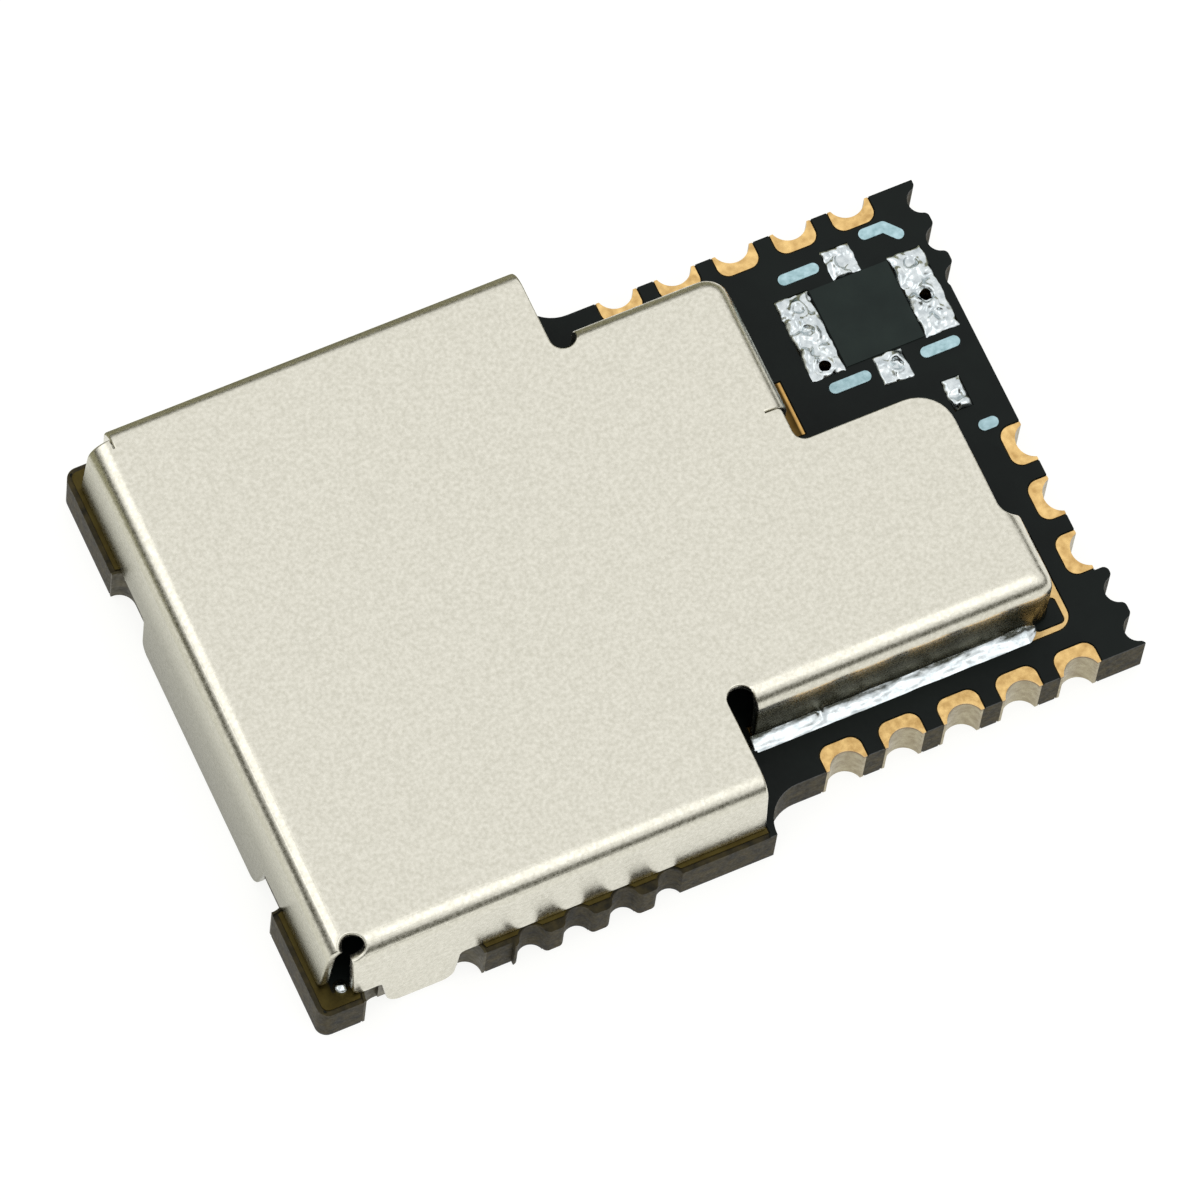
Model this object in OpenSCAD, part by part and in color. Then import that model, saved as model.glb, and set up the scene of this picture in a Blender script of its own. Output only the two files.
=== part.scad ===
// Sub-gigahertz radio module: a stepped, castellated board under one folded shield can.
// Millimetres, +Z up. The origin is the middle of the footprint, on the board's underside.

/* [Board] */
// Length of the wide half, from the left edge to the step
wide_len = 9.72; // [9:0.01:11]
// Length of the narrow half, from the step to the right edge
narrow_len = 8.12; // [7.8:0.01:9.5]
// Width across the wide half
wide_w = 12.5; // [12:0.01:14]
// Width across the narrow half
narrow_w = 10.88; // [10.6:0.01:11.6]
// Thickness of the bare laminate
laminate_t = 1; // [0.6:0.05:1.6]
// Thickness of the copper and mask layer on each face
layer_t = 0.05; // [0.03:0.005:0.08]
// Thickness of a gold land, which lies a little below the mask
land_t = 0.04; // [0.02:0.005:0.05]
// Radius of the board's two left corners
corner_r = 0.25; // [0.1:0.05:0.5]
// Gap between a land and the edge of its mask opening
mask_clear = 0.03; // [0.02:0.005:0.06]

/* [Castellations] */
// Spacing of the half holes
pad_pitch = 1.27; // [1:0.01:1.4]
// Half holes along each long edge of the narrow half
long_pad_count = 5; // [2:1:5]
// Half holes along the right edge
short_pad_count = 3; // [1:1:3]
// From the right edge to the middle of the last half hole on a long edge
last_pad_inset = 1.16; // [0.9:0.01:1.4]
// From the near edge to the middle of the first half hole on the right edge
short_row_inset = 2.29; // [2.2:0.01:2.6]
// Bore of a half hole, inside its plating
half_hole_d = 0.78; // [0.6:0.02:0.9]
// Distance of a half hole's middle outside the edge
half_hole_out = 0.12; // [0:0.01:0.18]
// Thickness of the plating in holes and slots
plating_t = 0.05; // [0.03:0.005:0.08]
// Width of a land along the edge
pad_w = 0.88; // [0.8:0.02:1.1]
// Depth of a land from the edge
pad_depth = 0.5; // [0.4:0.01:0.6]
// Radius of a land's inner corners
pad_corner_r = 0.24; // [0.05:0.01:0.28]

/* [Break-off stubs] */
// Diameter of the small holes along a break-off line
bite_d = 0.58; // [0.4:0.02:0.7]
// How far the stubs stand out from the right edge
end_stub = 0.26; // [0.1:0.01:0.35]
// Spacing of the small holes on the right edge
end_bite_pitch = 0.9; // [0.8:0.01:1]
// From the far edge to the first small hole
far_bite_inset = 0.47; // [0.4:0.01:0.6]
// From the near edge to the first small hole
near_bite_inset = 0.36; // [0.3:0.01:0.5]
// Length of the near stub along the right edge
near_stub_len = 1.8; // [1.4:0.05:1.8]
// Radius of the stubs' worn corners
stub_r = 0.12; // [0.05:0.01:0.14]
// How far the stubs stand out from the wide half's long edges
side_stub = 0.1; // [0.05:0.01:0.2]
// Spacing of the small holes on those edges
side_bite_pitch = 0.99; // [0.8:0.01:1.05]
// From the step to the first of them
side_bite_inset = 2.29; // [2:0.01:2.4]

/* [Shield can] */
// Thickness of the sheet
sheet_t = 0.2; // [0.15:0.01:0.25]
// Height of the can's top above the board
can_h = 1.8; // [1.6:0.05:2.4]
// Outside radius of every fold
bend_r = 0.52; // [0.3:0.01:0.6]
// Gap from the wide half's edges to the can's outer faces
can_margin = 0.1; // [0.06:0.01:0.25]
// Board left free between the step and the end of the wide half's can
step_margin = 0.15; // [0.1:0.01:0.25]
// Board left free between the near wall and the near half holes' edge
near_shelf = 1.16; // [1.1:0.01:1.4]
// Board left free behind the far wall
far_shelf = 0.9; // [0.8:0.01:1.1]
// Board left free at the right wall
right_shelf = 1.24; // [1.1:0.01:1.5]
// Length of the open bay for the antenna connector, from the right edge
bay_len = 4.49; // [4.2:0.01:4.8]
// Width of that bay, from the far edge
bay_w = 4.93; // [4.8:0.01:5.2]
// Length of the right wall, measured from the near wall
right_wall_len = 1.78; // [1.2:0.01:2.2]
// How far the trimmed part of the right edge reaches past the fold line
right_lip = 0.14; // [0.05:0.01:0.2]
// Radius of the large corner beside the bay
bay_corner_r = 0.8; // [0.3:0.05:1]
// Radius of the inner corner where that trim meets the right wall
lip_corner_r = 0.28; // [0.1:0.01:0.3]
// Radius of the flat corner left between the far fold and the bay's fold
lobe_r = 0.36; // [0.2:0.01:0.4]
// Radius of the corner cut at the inner end of the bay
bay_relief_r = 0.25; // [0.1:0.01:0.3]
// Length of the bay's edge that is left without a wall
bay_relief_l = 0.75; // [0.6:0.01:1]
// Width of the round-ended relief slots at the steps
relief_w = 0.55; // [0.4:0.01:0.7]
// How far a relief reaches past its fold line
relief_over = 0.04; // [0.02:0.01:0.1]
// Radius of the keyhole at the near left corner
keyhole_r = 0.34; // [0.25:0.01:0.36]
// From the left outer face to the keyhole's middle
keyhole_inset_x = 0.67; // [0.6:0.01:0.75]
// From the near outer face to the keyhole's middle
keyhole_inset_y = 0.47; // [0.4:0.01:0.58]
// From the left outer face to the end of the near wall
near_wall_start = 0.64; // [0.6:0.01:0.9]
// From the left outer face to the end of the far wall
far_wall_start = 0.66; // [0.6:0.01:0.9]
// How far the left wall reaches past the near and far fold lines
left_wall_over = 0.15; // [0:0.01:0.2]

/* [Tabs and slots] */
// Width of the tab on the left wall
left_tab_w = 5.5; // [4:0.1:6.5]
// Width of each tab on the near and far walls
side_tab_w = 1.7; // [1.2:0.1:2]
// From the left edge to the middle of the side tabs
side_tab_x = 2.2; // [2:0.05:2.5]
// Slot length left free past each end of the left tab
left_slot_over = 1.1; // [0.5:0.05:1.3]
// Slot length left free past each end of a side tab
side_slot_over = 0.4; // [0.2:0.05:0.5]
// Radius of the slots' milled ends
slot_r = 0.35; // [0.2:0.05:0.45]
// Gap between a tab and the plated floor of its slot, filled with solder
tab_clear = 0.08; // [0.05:0.01:0.12]
// Height of the tabs' ends above the underside
tab_foot = 0.15; // [0.05:0.05:0.4]

/* [Shield land and seam] */
// Width of the ground land outside the narrow half's walls
land_out = 0.24; // [0.15:0.01:0.26]
// Width of the ground land inside the can's walls
land_in = 0.1; // [0.05:0.01:0.15]
// Gap from the ground land to the board's edges and cuts
land_edge = 0.04; // [0.03:0.01:0.08]
// Extra width of the ground land outside the right wall
land_right = 0.12; // [0:0.01:0.2]
// Width of the land's loop round the open near right corner
land_loop_w = 0.11; // [0.08:0.01:0.15]
// Width of the land's wing beside the inner end of the bay
wing_w = 0.46; // [0.3:0.01:0.5]
// Length of that wing
wing_l = 1.2; // [0.8:0.05:1.5]
// Radius of the land and solder bead in the keyhole corner
corner_bead_r = 0.14; // [0.1:0.01:0.15]

/* [Antenna connector site] */
// From the right edge to the middle of the site
site_inset_x = 1.81; // [1.75:0.01:1.95]
// From the far edge to the middle of the site
site_inset_y = 2.31; // [2.2:0.01:2.4]
// From the middle to the middle of each land
site_reach = 1.245; // [1.2:0.005:1.3]
// Width of a ground land
ground_land_w = 0.68; // [0.5:0.02:0.7]
// Length of a ground land
ground_land_l = 1.82; // [1.4:0.02:1.9]
// Width of a signal land
signal_land_w = 0.56; // [0.4:0.02:0.6]
// Length of a signal land
signal_land_l = 0.6; // [0.4:0.02:0.62]
// Bore of the open vias in the ground lands
via_d = 0.25; // [0.2:0.01:0.3]
// From the middle of the site to the right land's via, towards the near side
via_shift = 0.1; // [0:0.01:0.3]
// From the right edge to the middle of the small land beside the bay
link_inset_x = 0.89; // [0.8:0.01:1]
// From the far edge to the middle of that land
link_inset_y = 4.57; // [4.4:0.01:4.7]
// Width of that land
link_land_w = 0.35; // [0.3:0.01:0.4]
// Length of that land
link_land_l = 0.65; // [0.5:0.01:0.7]
// Height of the solder left on the lands
bead_h = 0.1; // [0.05:0.01:0.15]
// Height of the flat mask plateau between the lands
plateau_h = 0.02; // [0.01:0.005:0.04]
// Gap between the plateau and the lands
plateau_gap = 0.05; // [0.04:0.01:0.1]
// Width of the printed marks
mark_w = 0.24; // [0.15:0.01:0.26]
// Thickness of the printed marks
mark_t = 0.02; // [0.01:0.005:0.03]

/* [Parts under the can] */
// Thickness of the solder film under every part
film_t = 0.03; // [0.02:0.005:0.05]
// Least gap between neighbouring parts
part_gap = 0.35; // [0.3:0.01:0.45]
// From the left edge to the middle of the transceiver
chip_inset = 4.85; // [4.75:0.05:5]
// Distance of the transceiver's middle from the middle line, to the near side
chip_shift = 0.4; // [0:0.05:0.6]
// Width of the square transceiver
chip_w = 4; // [3.6:0.1:4.2]
// Height of the transceiver
chip_h = 0.85; // [0.6:0.05:1]
// Terminals on each side of the transceiver
chip_pins = 6; // [4:1:7]
// Spacing of those terminals
chip_pin_pitch = 0.5; // [0.4:0.05:0.5]
// Width of the transceiver's thermal pad
chip_pad_w = 2.6; // [2:0.1:2.7]
// Length of the reference oscillator
osc_l = 2; // [1.8:0.1:2.1]
// Width of the reference oscillator
osc_w = 1.6; // [1.4:0.1:1.7]
// Height of the oscillator's ceramic base
osc_base_h = 0.5; // [0.4:0.05:0.6]
// Height of the oscillator's metal lid
osc_lid_h = 0.2; // [0.1:0.05:0.3]
// Rim of the base left free round the lid
osc_rim = 0.14; // [0.1:0.01:0.2]
// Length of the converter inductor
coil_l = 2; // [1.6:0.1:2.1]
// Width of the converter inductor
coil_w = 1.6; // [1.4:0.1:1.7]
// Height of the converter inductor
coil_h = 1; // [0.8:0.05:1.1]
// Length of the small chip capacitors and inductors
chip_l = 1; // [0.9:0.05:1.05]
// Width and height of the small chip parts
chip_t = 0.5; // [0.4:0.02:0.55]
// Length of the end caps on the small chip parts
cap_l = 0.25; // [0.15:0.01:0.3]
// Length of the antenna switch's body
switch_l = 2; // [1.8:0.1:2.2]
// Width of the antenna switch's body
switch_w = 1.25; // [1.1:0.05:1.4]
// Height of the antenna switch's body
switch_h = 0.8; // [0.6:0.05:0.9]
// Reach of the switch's leads past its body
lead_reach = 0.42; // [0.35:0.01:0.5]

/* [Hidden] */
$fn = 64;

// Board edges and levels
x_left = -(wide_len + narrow_len + end_stub) / 2;
x_step = x_left + wide_len;
x_right = x_step + narrow_len;
y_wide = wide_w / 2;
y_narrow = narrow_w / 2;
step_r = y_wide - y_narrow;
board_t = laminate_t + 2 * layer_t;
z_lam_top = layer_t + laminate_t;
z_land = z_lam_top + land_t;
// Reach of every cutting shape past the solid that it cuts
past = 1;

// Rows of half holes and break-off holes
long_xs = [for (i = [0 : long_pad_count - 1]) x_right - last_pad_inset - i * pad_pitch];
short_ys = [for (i = [0 : short_pad_count - 1]) -y_narrow + short_row_inset + i * pad_pitch];
far_bite_count = 3;
near_bite_count = 2;
side_bite_count = 4;
far_bite_ys = [for (i = [0 : far_bite_count - 1]) y_narrow - far_bite_inset - i * end_bite_pitch];
near_bite_ys = [for (i = [0 : near_bite_count - 1]) near_bite_inset + i * end_bite_pitch - y_narrow];
side_bite_xs = [for (i = [0 : side_bite_count - 1]) x_step - side_bite_inset - i * side_bite_pitch];

// Outer faces of the can
can_top = board_t + can_h;
can_left = x_left + can_margin;
can_step = x_step - step_margin;
can_wide = y_wide - can_margin;
can_near = near_shelf - y_narrow;
can_far = y_narrow - far_shelf;
can_right = x_right - right_shelf;
bay_x = x_right - bay_len;
bay_y = y_narrow - bay_w;
right_wall_end = can_near + right_wall_len;
keyhole_x = can_left + keyhole_inset_x;
keyhole_y = keyhole_inset_y - can_wide;
corner_bead_x = can_left + near_wall_start - corner_bead_r;
corner_bead_y = sheet_t + corner_bead_r - can_wide;
relief_end = can_step + relief_w;
wall_drop = can_top - z_land;

// Slots that take the can's tabs
slot_depth = can_margin + sheet_t + tab_clear;
left_slot_l = left_tab_w + 2 * left_slot_over;
side_slot_l = side_tab_w + 2 * side_slot_over;
tab_x = x_left + side_tab_x;
tab_h = z_land - tab_foot;

// Antenna connector site, its vias and the small land beside it
site_x = x_right - site_inset_x;
site_y = y_narrow - site_inset_y;
bead_inset = 0.03;
via_inset = via_d / 2 + plating_t + bead_inset;
via_spots = [[-site_reach, via_inset - ground_land_l / 2], [site_reach, -via_shift]];
link_x = x_right - link_inset_x;
link_y = y_narrow - link_inset_y;
plateau_w = 2 * site_reach - ground_land_w - 2 * plateau_gap;
plateau_l = 2 * site_reach - signal_land_l - 2 * plateau_gap;

// Printed marks, as paths measured from the middle of the connector site
mark_paths = [
    [[-1.21, 1.31], [-0.57, 1.31]],
    [[0.69, 1.59], [1.1, 1.59], [1.32, 1.34]],
    [[-1.26, -1.22], [-0.6, -1.22]],
    [[0.74, -1.22], [1.35, -1.22]],
    [[1.13, -3.1], [1.31, -3.1]],
];

// Places of the parts under the can, each a gap away from its neighbour
z_part = z_land + film_t;
fillet_l = 0.15;
fillet_h = 0.25;
land_over = fillet_l;
chip_x = x_left + chip_inset;
chip_y = -chip_shift;
pin_w = 0.25;
pin_l = 0.4;
pin_h = 0.2;
pin_land_over = 0.2;
chip_reach = chip_w / 2 + pin_land_over;
column_x = chip_x - chip_reach - part_gap - osc_w / 2;
osc_y = chip_y + part_gap / 2 + osc_l / 2;
coil_y = chip_y - part_gap / 2 - land_over - coil_l / 2;
small_reach = chip_l / 2 + fillet_l;
far_row_y = chip_y + chip_reach + part_gap + small_reach;
near_row_y = chip_y - chip_reach - part_gap - small_reach;
row_pitch = chip_t + part_gap;
match_x = chip_x + chip_reach + part_gap + small_reach;
switch_reach = switch_w / 2 + lead_reach;
switch_x = match_x + small_reach + part_gap + switch_reach + pin_land_over;
switch_y = chip_y + part_gap + switch_l / 2;
filter_x = switch_x + switch_reach + pin_land_over + part_gap + chip_t / 2;
switch_lead_w = 0.22;
switch_lead_t = 0.12;
switch_lead_pitch = 0.65;
switch_lead_foot = 0.25;
switch_lead_rise = 0.42;
switch_standoff = 0.06;
osc_land = 0.5;
osc_notch_r = 0.15;

// Small chip parts: middle of each, and its turn about Z
capacitors = [
    for (i = [0 : 3]) [chip_x + (i - 1.5) * row_pitch, far_row_y, 90],
    for (i = [0 : 3]) [chip_x + (i - 1.5) * row_pitch, near_row_y, 90],
    [filter_x, switch_y + small_reach + part_gap / 2, 90],
];
inductors = [
    for (i = [0 : 2]) [match_x, chip_y + (i - 1) * row_pitch, 0],
    [filter_x, switch_y - small_reach - part_gap / 2, 90],
];

gold = [0.90, 0.73, 0.42];
mask_black = [0.12, 0.14, 0.15];
nickel = [0.86, 0.84, 0.78];
solder = [0.86, 0.87, 0.88];
glass_brown = [0.40, 0.36, 0.28];
mould_black = [0.13, 0.13, 0.14];
ceramic_tan = [0.62, 0.52, 0.40];
tinned = [0.78, 0.78, 0.76];

// Flat shapes shared by several pieces

// Rectangle about the origin with rounded corners
module rounded_rect_2d(w, l, r) {
    square([w - 2 * r, l], center = true);
    square([w, l - 2 * r], center = true);
    for (sx = [-1, 1], sy = [-1, 1])
        translate([sx * (w / 2 - r), sy * (l / 2 - r)])
            circle(r);
}

// Band of even width along a path, with round ends and corners
module track_2d(path, w) {
    for (p = path)
        translate(p)
            circle(w / 2);
    for (i = [0 : len(path) - 2]) {
        d = path[i + 1] - path[i];
        translate(path[i])
            rotate(atan2(d.y, d.x))
                translate([0, -w / 2])
                    square([norm(d), w]);
    }
}

// Stepped plan of the board before any hole: round left corners and a quarter arc at each step
module board_plate_2d() {
    difference() {
        translate([x_left, -y_wide])
            square([wide_len + narrow_len, wide_w]);
        for (s = [-1, 1]) {
            translate([x_step + step_r, s * y_wide])
                circle(step_r);
            translate([x_step + step_r, s > 0 ? y_narrow : -y_wide - past])
                square([narrow_len, step_r + past]);
            translate([x_left, s * y_wide])
                square(2 * corner_r, center = true);
        }
    }
    for (s = [-1, 1])
        translate([x_left + corner_r, s * (y_wide - corner_r)])
            circle(corner_r);
}

// Stubs left on the edges where the board was broken out of its panel
module stubs_2d() {
    far_len = far_bite_inset + (far_bite_count - 1) * end_bite_pitch;
    side_len = (side_bite_count - 1) * side_bite_pitch + bite_d / 2 + side_stub;
    translate([x_right - end_stub, y_narrow - far_len])
        square([2 * end_stub, far_len]);
    translate([x_right - end_stub, -y_narrow])
        square([2 * end_stub, near_stub_len]);
    for (s = [-1, 1])
        translate([x_step - side_bite_inset - side_len, s * y_wide - side_stub])
            square([side_len, 2 * side_stub]);
}

// Small holes of the break-off lines
module bites_2d(grow = 0) {
    for (y = concat(far_bite_ys, near_bite_ys))
        translate([x_right + end_stub, y])
            circle(bite_d / 2 + grow);
    for (x = side_bite_xs, s = [-1, 1])
        translate([x, s * (y_wide + side_stub)])
            circle(bite_d / 2 + grow);
}

// Corners that wear takes off the stubs on both sides of one small hole, with the outer line along X
module worn_corners_2d() {
    r = bite_d / 2;
    share = r / (r + stub_r);
    mid_x = sqrt(r * r + 2 * r * stub_r);
    for (s = [0, 1])
        mirror([s, 0])
            difference() {
                translate([share * mid_x, -share * stub_r])
                    square([(1 - share) * mid_x, share * stub_r + past]);
                translate([mid_x, -stub_r])
                    circle(stub_r);
            }
}

module stub_wear_2d() {
    for (y = concat(far_bite_ys, near_bite_ys))
        translate([x_right + end_stub, y])
            rotate(-90)
                worn_corners_2d();
    for (x = side_bite_xs, s = [-1, 1])
        translate([x, s * (y_wide + side_stub)])
            rotate(s > 0 ? 0 : 180)
                worn_corners_2d();
    // Free end of the near stub
    translate([x_right + end_stub - 2 * stub_r, near_stub_len - 2 * stub_r - y_narrow])
        difference() {
            translate([stub_r, stub_r])
                square(stub_r + past);
            translate([stub_r, stub_r])
                circle(stub_r);
        }
}

// Put the children at every half hole of one row, with the edge along X and the board at -Y
module at_far_pads() {
    for (x = long_xs)
        translate([x, y_narrow])
            children();
}

module at_near_pads() {
    for (x = long_xs)
        translate([x, -y_narrow])
            rotate(180)
                children();
}

module at_right_pads() {
    for (y = short_ys)
        translate([x_right, y])
            rotate(-90)
                children();
}

module at_all_pads() {
    at_far_pads()
        children();
    at_near_pads()
        children();
    at_right_pads()
        children();
}

module half_hole_2d(grow = 0) {
    translate([0, half_hole_out])
        circle(half_hole_d / 2 + grow);
}

// Land round one half hole, cut off at the board's edge
module edge_land_2d(grow = 0) {
    r = pad_corner_r + grow;
    translate([-pad_w / 2 - grow, -pad_depth - grow + r])
        square([pad_w + 2 * grow, pad_depth + grow - r]);
    translate([-pad_w / 2 - grow + r, -pad_depth - grow])
        square([pad_w + 2 * grow - 2 * r, pad_depth + grow]);
    for (s = [-1, 1])
        translate([s * (pad_w / 2 + grow - r), -pad_depth - grow + r])
            circle(r);
}

// Milled slot with the edge along X, open to +Y
module slot_2d(l, d, r) {
    translate([-l / 2, r - d])
        square([l, d - r + past]);
    translate([r - l / 2, -d])
        square([l - 2 * r, d]);
    for (s = [-1, 1])
        translate([s * (l / 2 - r), r - d])
            circle(r);
}

// Put the children at the left, near and far slot in turn; $slot_l and $tab_w go with the place
module at_slots() {
    translate([x_left, 0])
        rotate(90)
            let ($slot_l = left_slot_l, $tab_w = left_tab_w)
                children();
    for (s = [-1, 1])
        translate([tab_x, s * y_wide])
            rotate(s > 0 ? 0 : 180)
                let ($slot_l = side_slot_l, $tab_w = side_tab_w)
                    children();
}

module tab_slots_2d(grow = 0) {
    at_slots()
        slot_2d($slot_l + 2 * grow, slot_depth + grow, slot_r + grow);
}

// Plan of the board with every cut in its edges
module board_outline_2d() {
    difference() {
        union() {
            board_plate_2d();
            stubs_2d();
        }
        bites_2d();
        stub_wear_2d();
        tab_slots_2d(plating_t);
        at_all_pads()
            half_hole_2d(plating_t);
    }
}

// Ground land under the can's folded walls: bands along them, a loop round the open corner and two pads
module shield_land_2d(grow = 0) {
    under_w = sheet_t + land_in;
    band_w = under_w + land_out;
    under_c = under_w / 2;
    band_c = band_w / 2 - land_out;
    corner_x = can_right - band_c + land_right / 2;
    corner_y = can_near + band_c;
    far_y = can_far - band_c;
    wing_y = bay_y + bay_relief_l;
    wide_path = [
        [can_step - under_c, can_wide - under_c], [can_left + under_c, can_wide - under_c],
        [can_left + under_c, under_c - can_wide], [can_step - under_c, under_c - can_wide],
    ];
    track_2d(wide_path, under_w + 2 * grow);
    for (s = [-1, 1])
        translate([can_step - under_c, s * (can_wide - under_c)])
            square(under_w + 2 * grow, center = true);
    for (y = [corner_y, far_y])
        translate([relief_end + band_w / 2, y])
            square(band_w + 2 * grow, center = true);
    difference() {
        union() {
            track_2d([[relief_end + band_w, corner_y], [corner_x, corner_y]], band_w + 2 * grow);
            track_2d(
                [[corner_x, corner_y + land_right / 2], [corner_x, right_wall_end]],
                band_w + land_right + 2 * grow
            );
        }
        land_loop_inside_2d(grow);
    }
    track_2d(
        [[relief_end + band_w, far_y], [bay_x - band_c, far_y], [bay_x - band_c, wing_y]],
        band_w + 2 * grow
    );
    translate([bay_x - sheet_t - grow, wing_y - grow])
        square([sheet_t + wing_w + 2 * grow, wing_l + 2 * grow]);
    translate([corner_bead_x, corner_bead_y])
        circle(corner_bead_r + grow);
}

// Masked middle of the loop round the open corner between the near and the right wall
module land_loop_inside_2d(grow) {
    loop_x = can_right - bend_r + land_loop_w;
    loop_y = can_near - land_out + land_loop_w;
    loop_w = can_right + land_out + land_right - land_loop_w - loop_x;
    loop_l = can_near + bend_r - land_loop_w / 2 - loop_y;
    translate([loop_x + loop_w / 2, loop_y + loop_l / 2])
        rounded_rect_2d(loop_w - 2 * grow, loop_l - 2 * grow, land_loop_w);
}

// Ground land itself, kept back from the board's edges and cuts
module shield_land_trimmed_2d() {
    difference() {
        intersection() {
            shield_land_2d();
            translate([x_left + land_edge, land_edge - y_wide])
                square([wide_len + narrow_len - 2 * land_edge, wide_w - 2 * land_edge]);
        }
        bites_2d(land_edge);
        tab_slots_2d(plating_t + land_edge);
    }
}

// Plain land about the origin, or with a margin its opening in the mask
module plain_land_2d(w, l, grow = 0) {
    square([w + 2 * grow, l + 2 * grow], center = true);
}

module at_ground_lands() {
    for (s = [-1, 1])
        translate([site_x + s * site_reach, site_y])
            children();
}

module at_signal_lands() {
    for (s = [-1, 1])
        translate([site_x, site_y + s * site_reach])
            children();
}

module at_vias() {
    for (v = via_spots)
        translate([site_x, site_y] + v)
            children();
}

// Places of the parts' lands under the can

module at_small(parts) {
    for (p = parts)
        translate([p.x, p.y])
            rotate(p.z)
                children();
}

module at_coil() {
    translate([column_x, coil_y])
        rotate(90)
            children();
}

module at_osc_corners() {
    for (sx = [-1, 1], sy = [-1, 1])
        translate([column_x + sx * (osc_w - osc_land) / 2, osc_y + sy * (osc_l - osc_land) / 2])
            children();
}

module at_chip_pins() {
    for (turn = [0 : 90 : 270], i = [0 : chip_pins - 1])
        translate([chip_x, chip_y])
            rotate(turn)
                translate([chip_w / 2, (i - (chip_pins - 1) / 2) * chip_pin_pitch])
                    children();
}

module at_switch_leads() {
    for (s = [0, 180], i = [-1 : 1])
        translate([switch_x, switch_y])
            rotate(s)
                translate([switch_w / 2, i * switch_lead_pitch])
                    children();
}

// Pair of end lands of a chip part that lies along X
module end_lands_2d(l, w, cap, grow) {
    land_l = cap + land_over + 2 * grow;
    for (s = [-1, 1])
        translate([s * (l / 2 - cap / 2 + land_over / 2), 0])
            square([land_l, w + 2 * grow], center = true);
}

module component_lands_2d(grow = 0) {
    at_small(concat(capacitors, inductors))
        end_lands_2d(chip_l, chip_t, cap_l, grow);
    at_coil()
        end_lands_2d(coil_l, coil_w, cap_l, grow);
    at_osc_corners()
        square(osc_land + 2 * grow, center = true);
    at_chip_pins()
        translate([-pin_l - grow, -pin_w / 2 - grow])
            square([pin_l + pin_land_over + 2 * grow, pin_w + 2 * grow]);
    translate([chip_x, chip_y])
        square(chip_pad_w + 2 * grow, center = true);
    at_switch_leads()
        translate([lead_reach - switch_lead_foot - grow, -switch_lead_w / 2 - grow])
            square([switch_lead_foot + pin_land_over + 2 * grow, switch_lead_w + 2 * grow]);
}

// Board

module board_laminate() {
    color(glass_brown)
        translate([0, 0, layer_t])
            linear_extrude(laminate_t)
                difference() {
                    board_outline_2d();
                    at_vias()
                        circle(via_d / 2 + plating_t);
                }
}

// Mask outline of both faces; the stubs on the long edges are left bare
module mask_2d() {
    difference() {
        intersection() {
            board_outline_2d();
            translate([x_left, -y_wide])
                square([wide_len + narrow_len + end_stub, wide_w]);
        }
        at_all_pads() {
            edge_land_2d(mask_clear);
            half_hole_2d(plating_t + mask_clear);
        }
        tab_slots_2d(plating_t + mask_clear);
    }
}

// Strip of bare laminate outside the can's walls on the wide half
module bare_rim_2d() {
    difference() {
        translate([x_left - past, -y_wide - past])
            square([can_step - x_left + past, wide_w + 2 * past]);
        translate([can_left, -can_wide])
            square([can_step - can_left + past, 2 * can_wide]);
    }
}

module top_solder_mask() {
    color(mask_black) {
        translate([0, 0, z_lam_top])
            linear_extrude(layer_t)
                difference() {
                    mask_2d();
                    bare_rim_2d();
                    shield_land_2d(mask_clear);
                    component_lands_2d(mask_clear);
                    at_ground_lands()
                        plain_land_2d(ground_land_w, ground_land_l, mask_clear);
                    at_signal_lands()
                        plain_land_2d(signal_land_w, signal_land_l, mask_clear);
                    translate([link_x, link_y])
                        plain_land_2d(link_land_w, link_land_l, mask_clear);
                }
        // Plateau where a copper field lies under the mask
        translate([site_x, site_y, z_lam_top])
            linear_extrude(layer_t + plateau_h)
                square([plateau_w, plateau_l], center = true);
    }
}

module bottom_solder_mask() {
    color(mask_black)
        linear_extrude(layer_t)
            mask_2d();
}

// Half hole: lands on both faces and the plated barrel between them
module castellation() {
    module inside_2d() {
        translate([-pad_w, -2 * pad_depth])
            square([2 * pad_w, 2 * pad_depth]);
    }
    module land_2d() {
        difference() {
            edge_land_2d();
            half_hole_2d();
        }
    }
    linear_extrude(layer_t)
        land_2d();
    translate([0, 0, z_lam_top])
        linear_extrude(land_t)
            land_2d();
    linear_extrude(z_land)
        difference() {
            intersection() {
                half_hole_2d(plating_t);
                inside_2d();
            }
            half_hole_2d();
        }
}

module far_castellations() {
    color(gold)
        at_far_pads()
            castellation();
}

module near_castellations() {
    color(gold)
        at_near_pads()
            castellation();
}

module right_castellations() {
    color(gold)
        at_right_pads()
            castellation();
}

// Plated lining of the slots that take the can's tabs
module tab_slot_plating() {
    color(tinned)
        linear_extrude(z_land)
            intersection() {
                at_slots()
                    difference() {
                        slot_2d($slot_l + 2 * plating_t, slot_depth + plating_t, slot_r + plating_t);
                        slot_2d($slot_l, slot_depth, slot_r);
                    }
                board_plate_2d();
            }
}

// Shield can

module shield_ground_land() {
    color(gold)
        translate([0, 0, z_lam_top])
            linear_extrude(land_t)
                shield_land_trimmed_2d();
}

// Section of a fold: a quarter bend from the top sheet and the straight wall below it
module wall_section_2d() {
    translate([0, -bend_r])
        intersection() {
            difference() {
                circle(bend_r);
                circle(bend_r - sheet_t);
            }
            square(bend_r);
        }
    translate([bend_r - sheet_t, -wall_drop])
        square([sheet_t, wall_drop - bend_r]);
}

// Folded wall of a given length along +Y, facing +X, that starts at the top sheet's edge
module folded_wall(l) {
    translate([0, l, can_top])
        rotate([90, 0, 0])
            linear_extrude(l)
                wall_section_2d();
}

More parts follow.
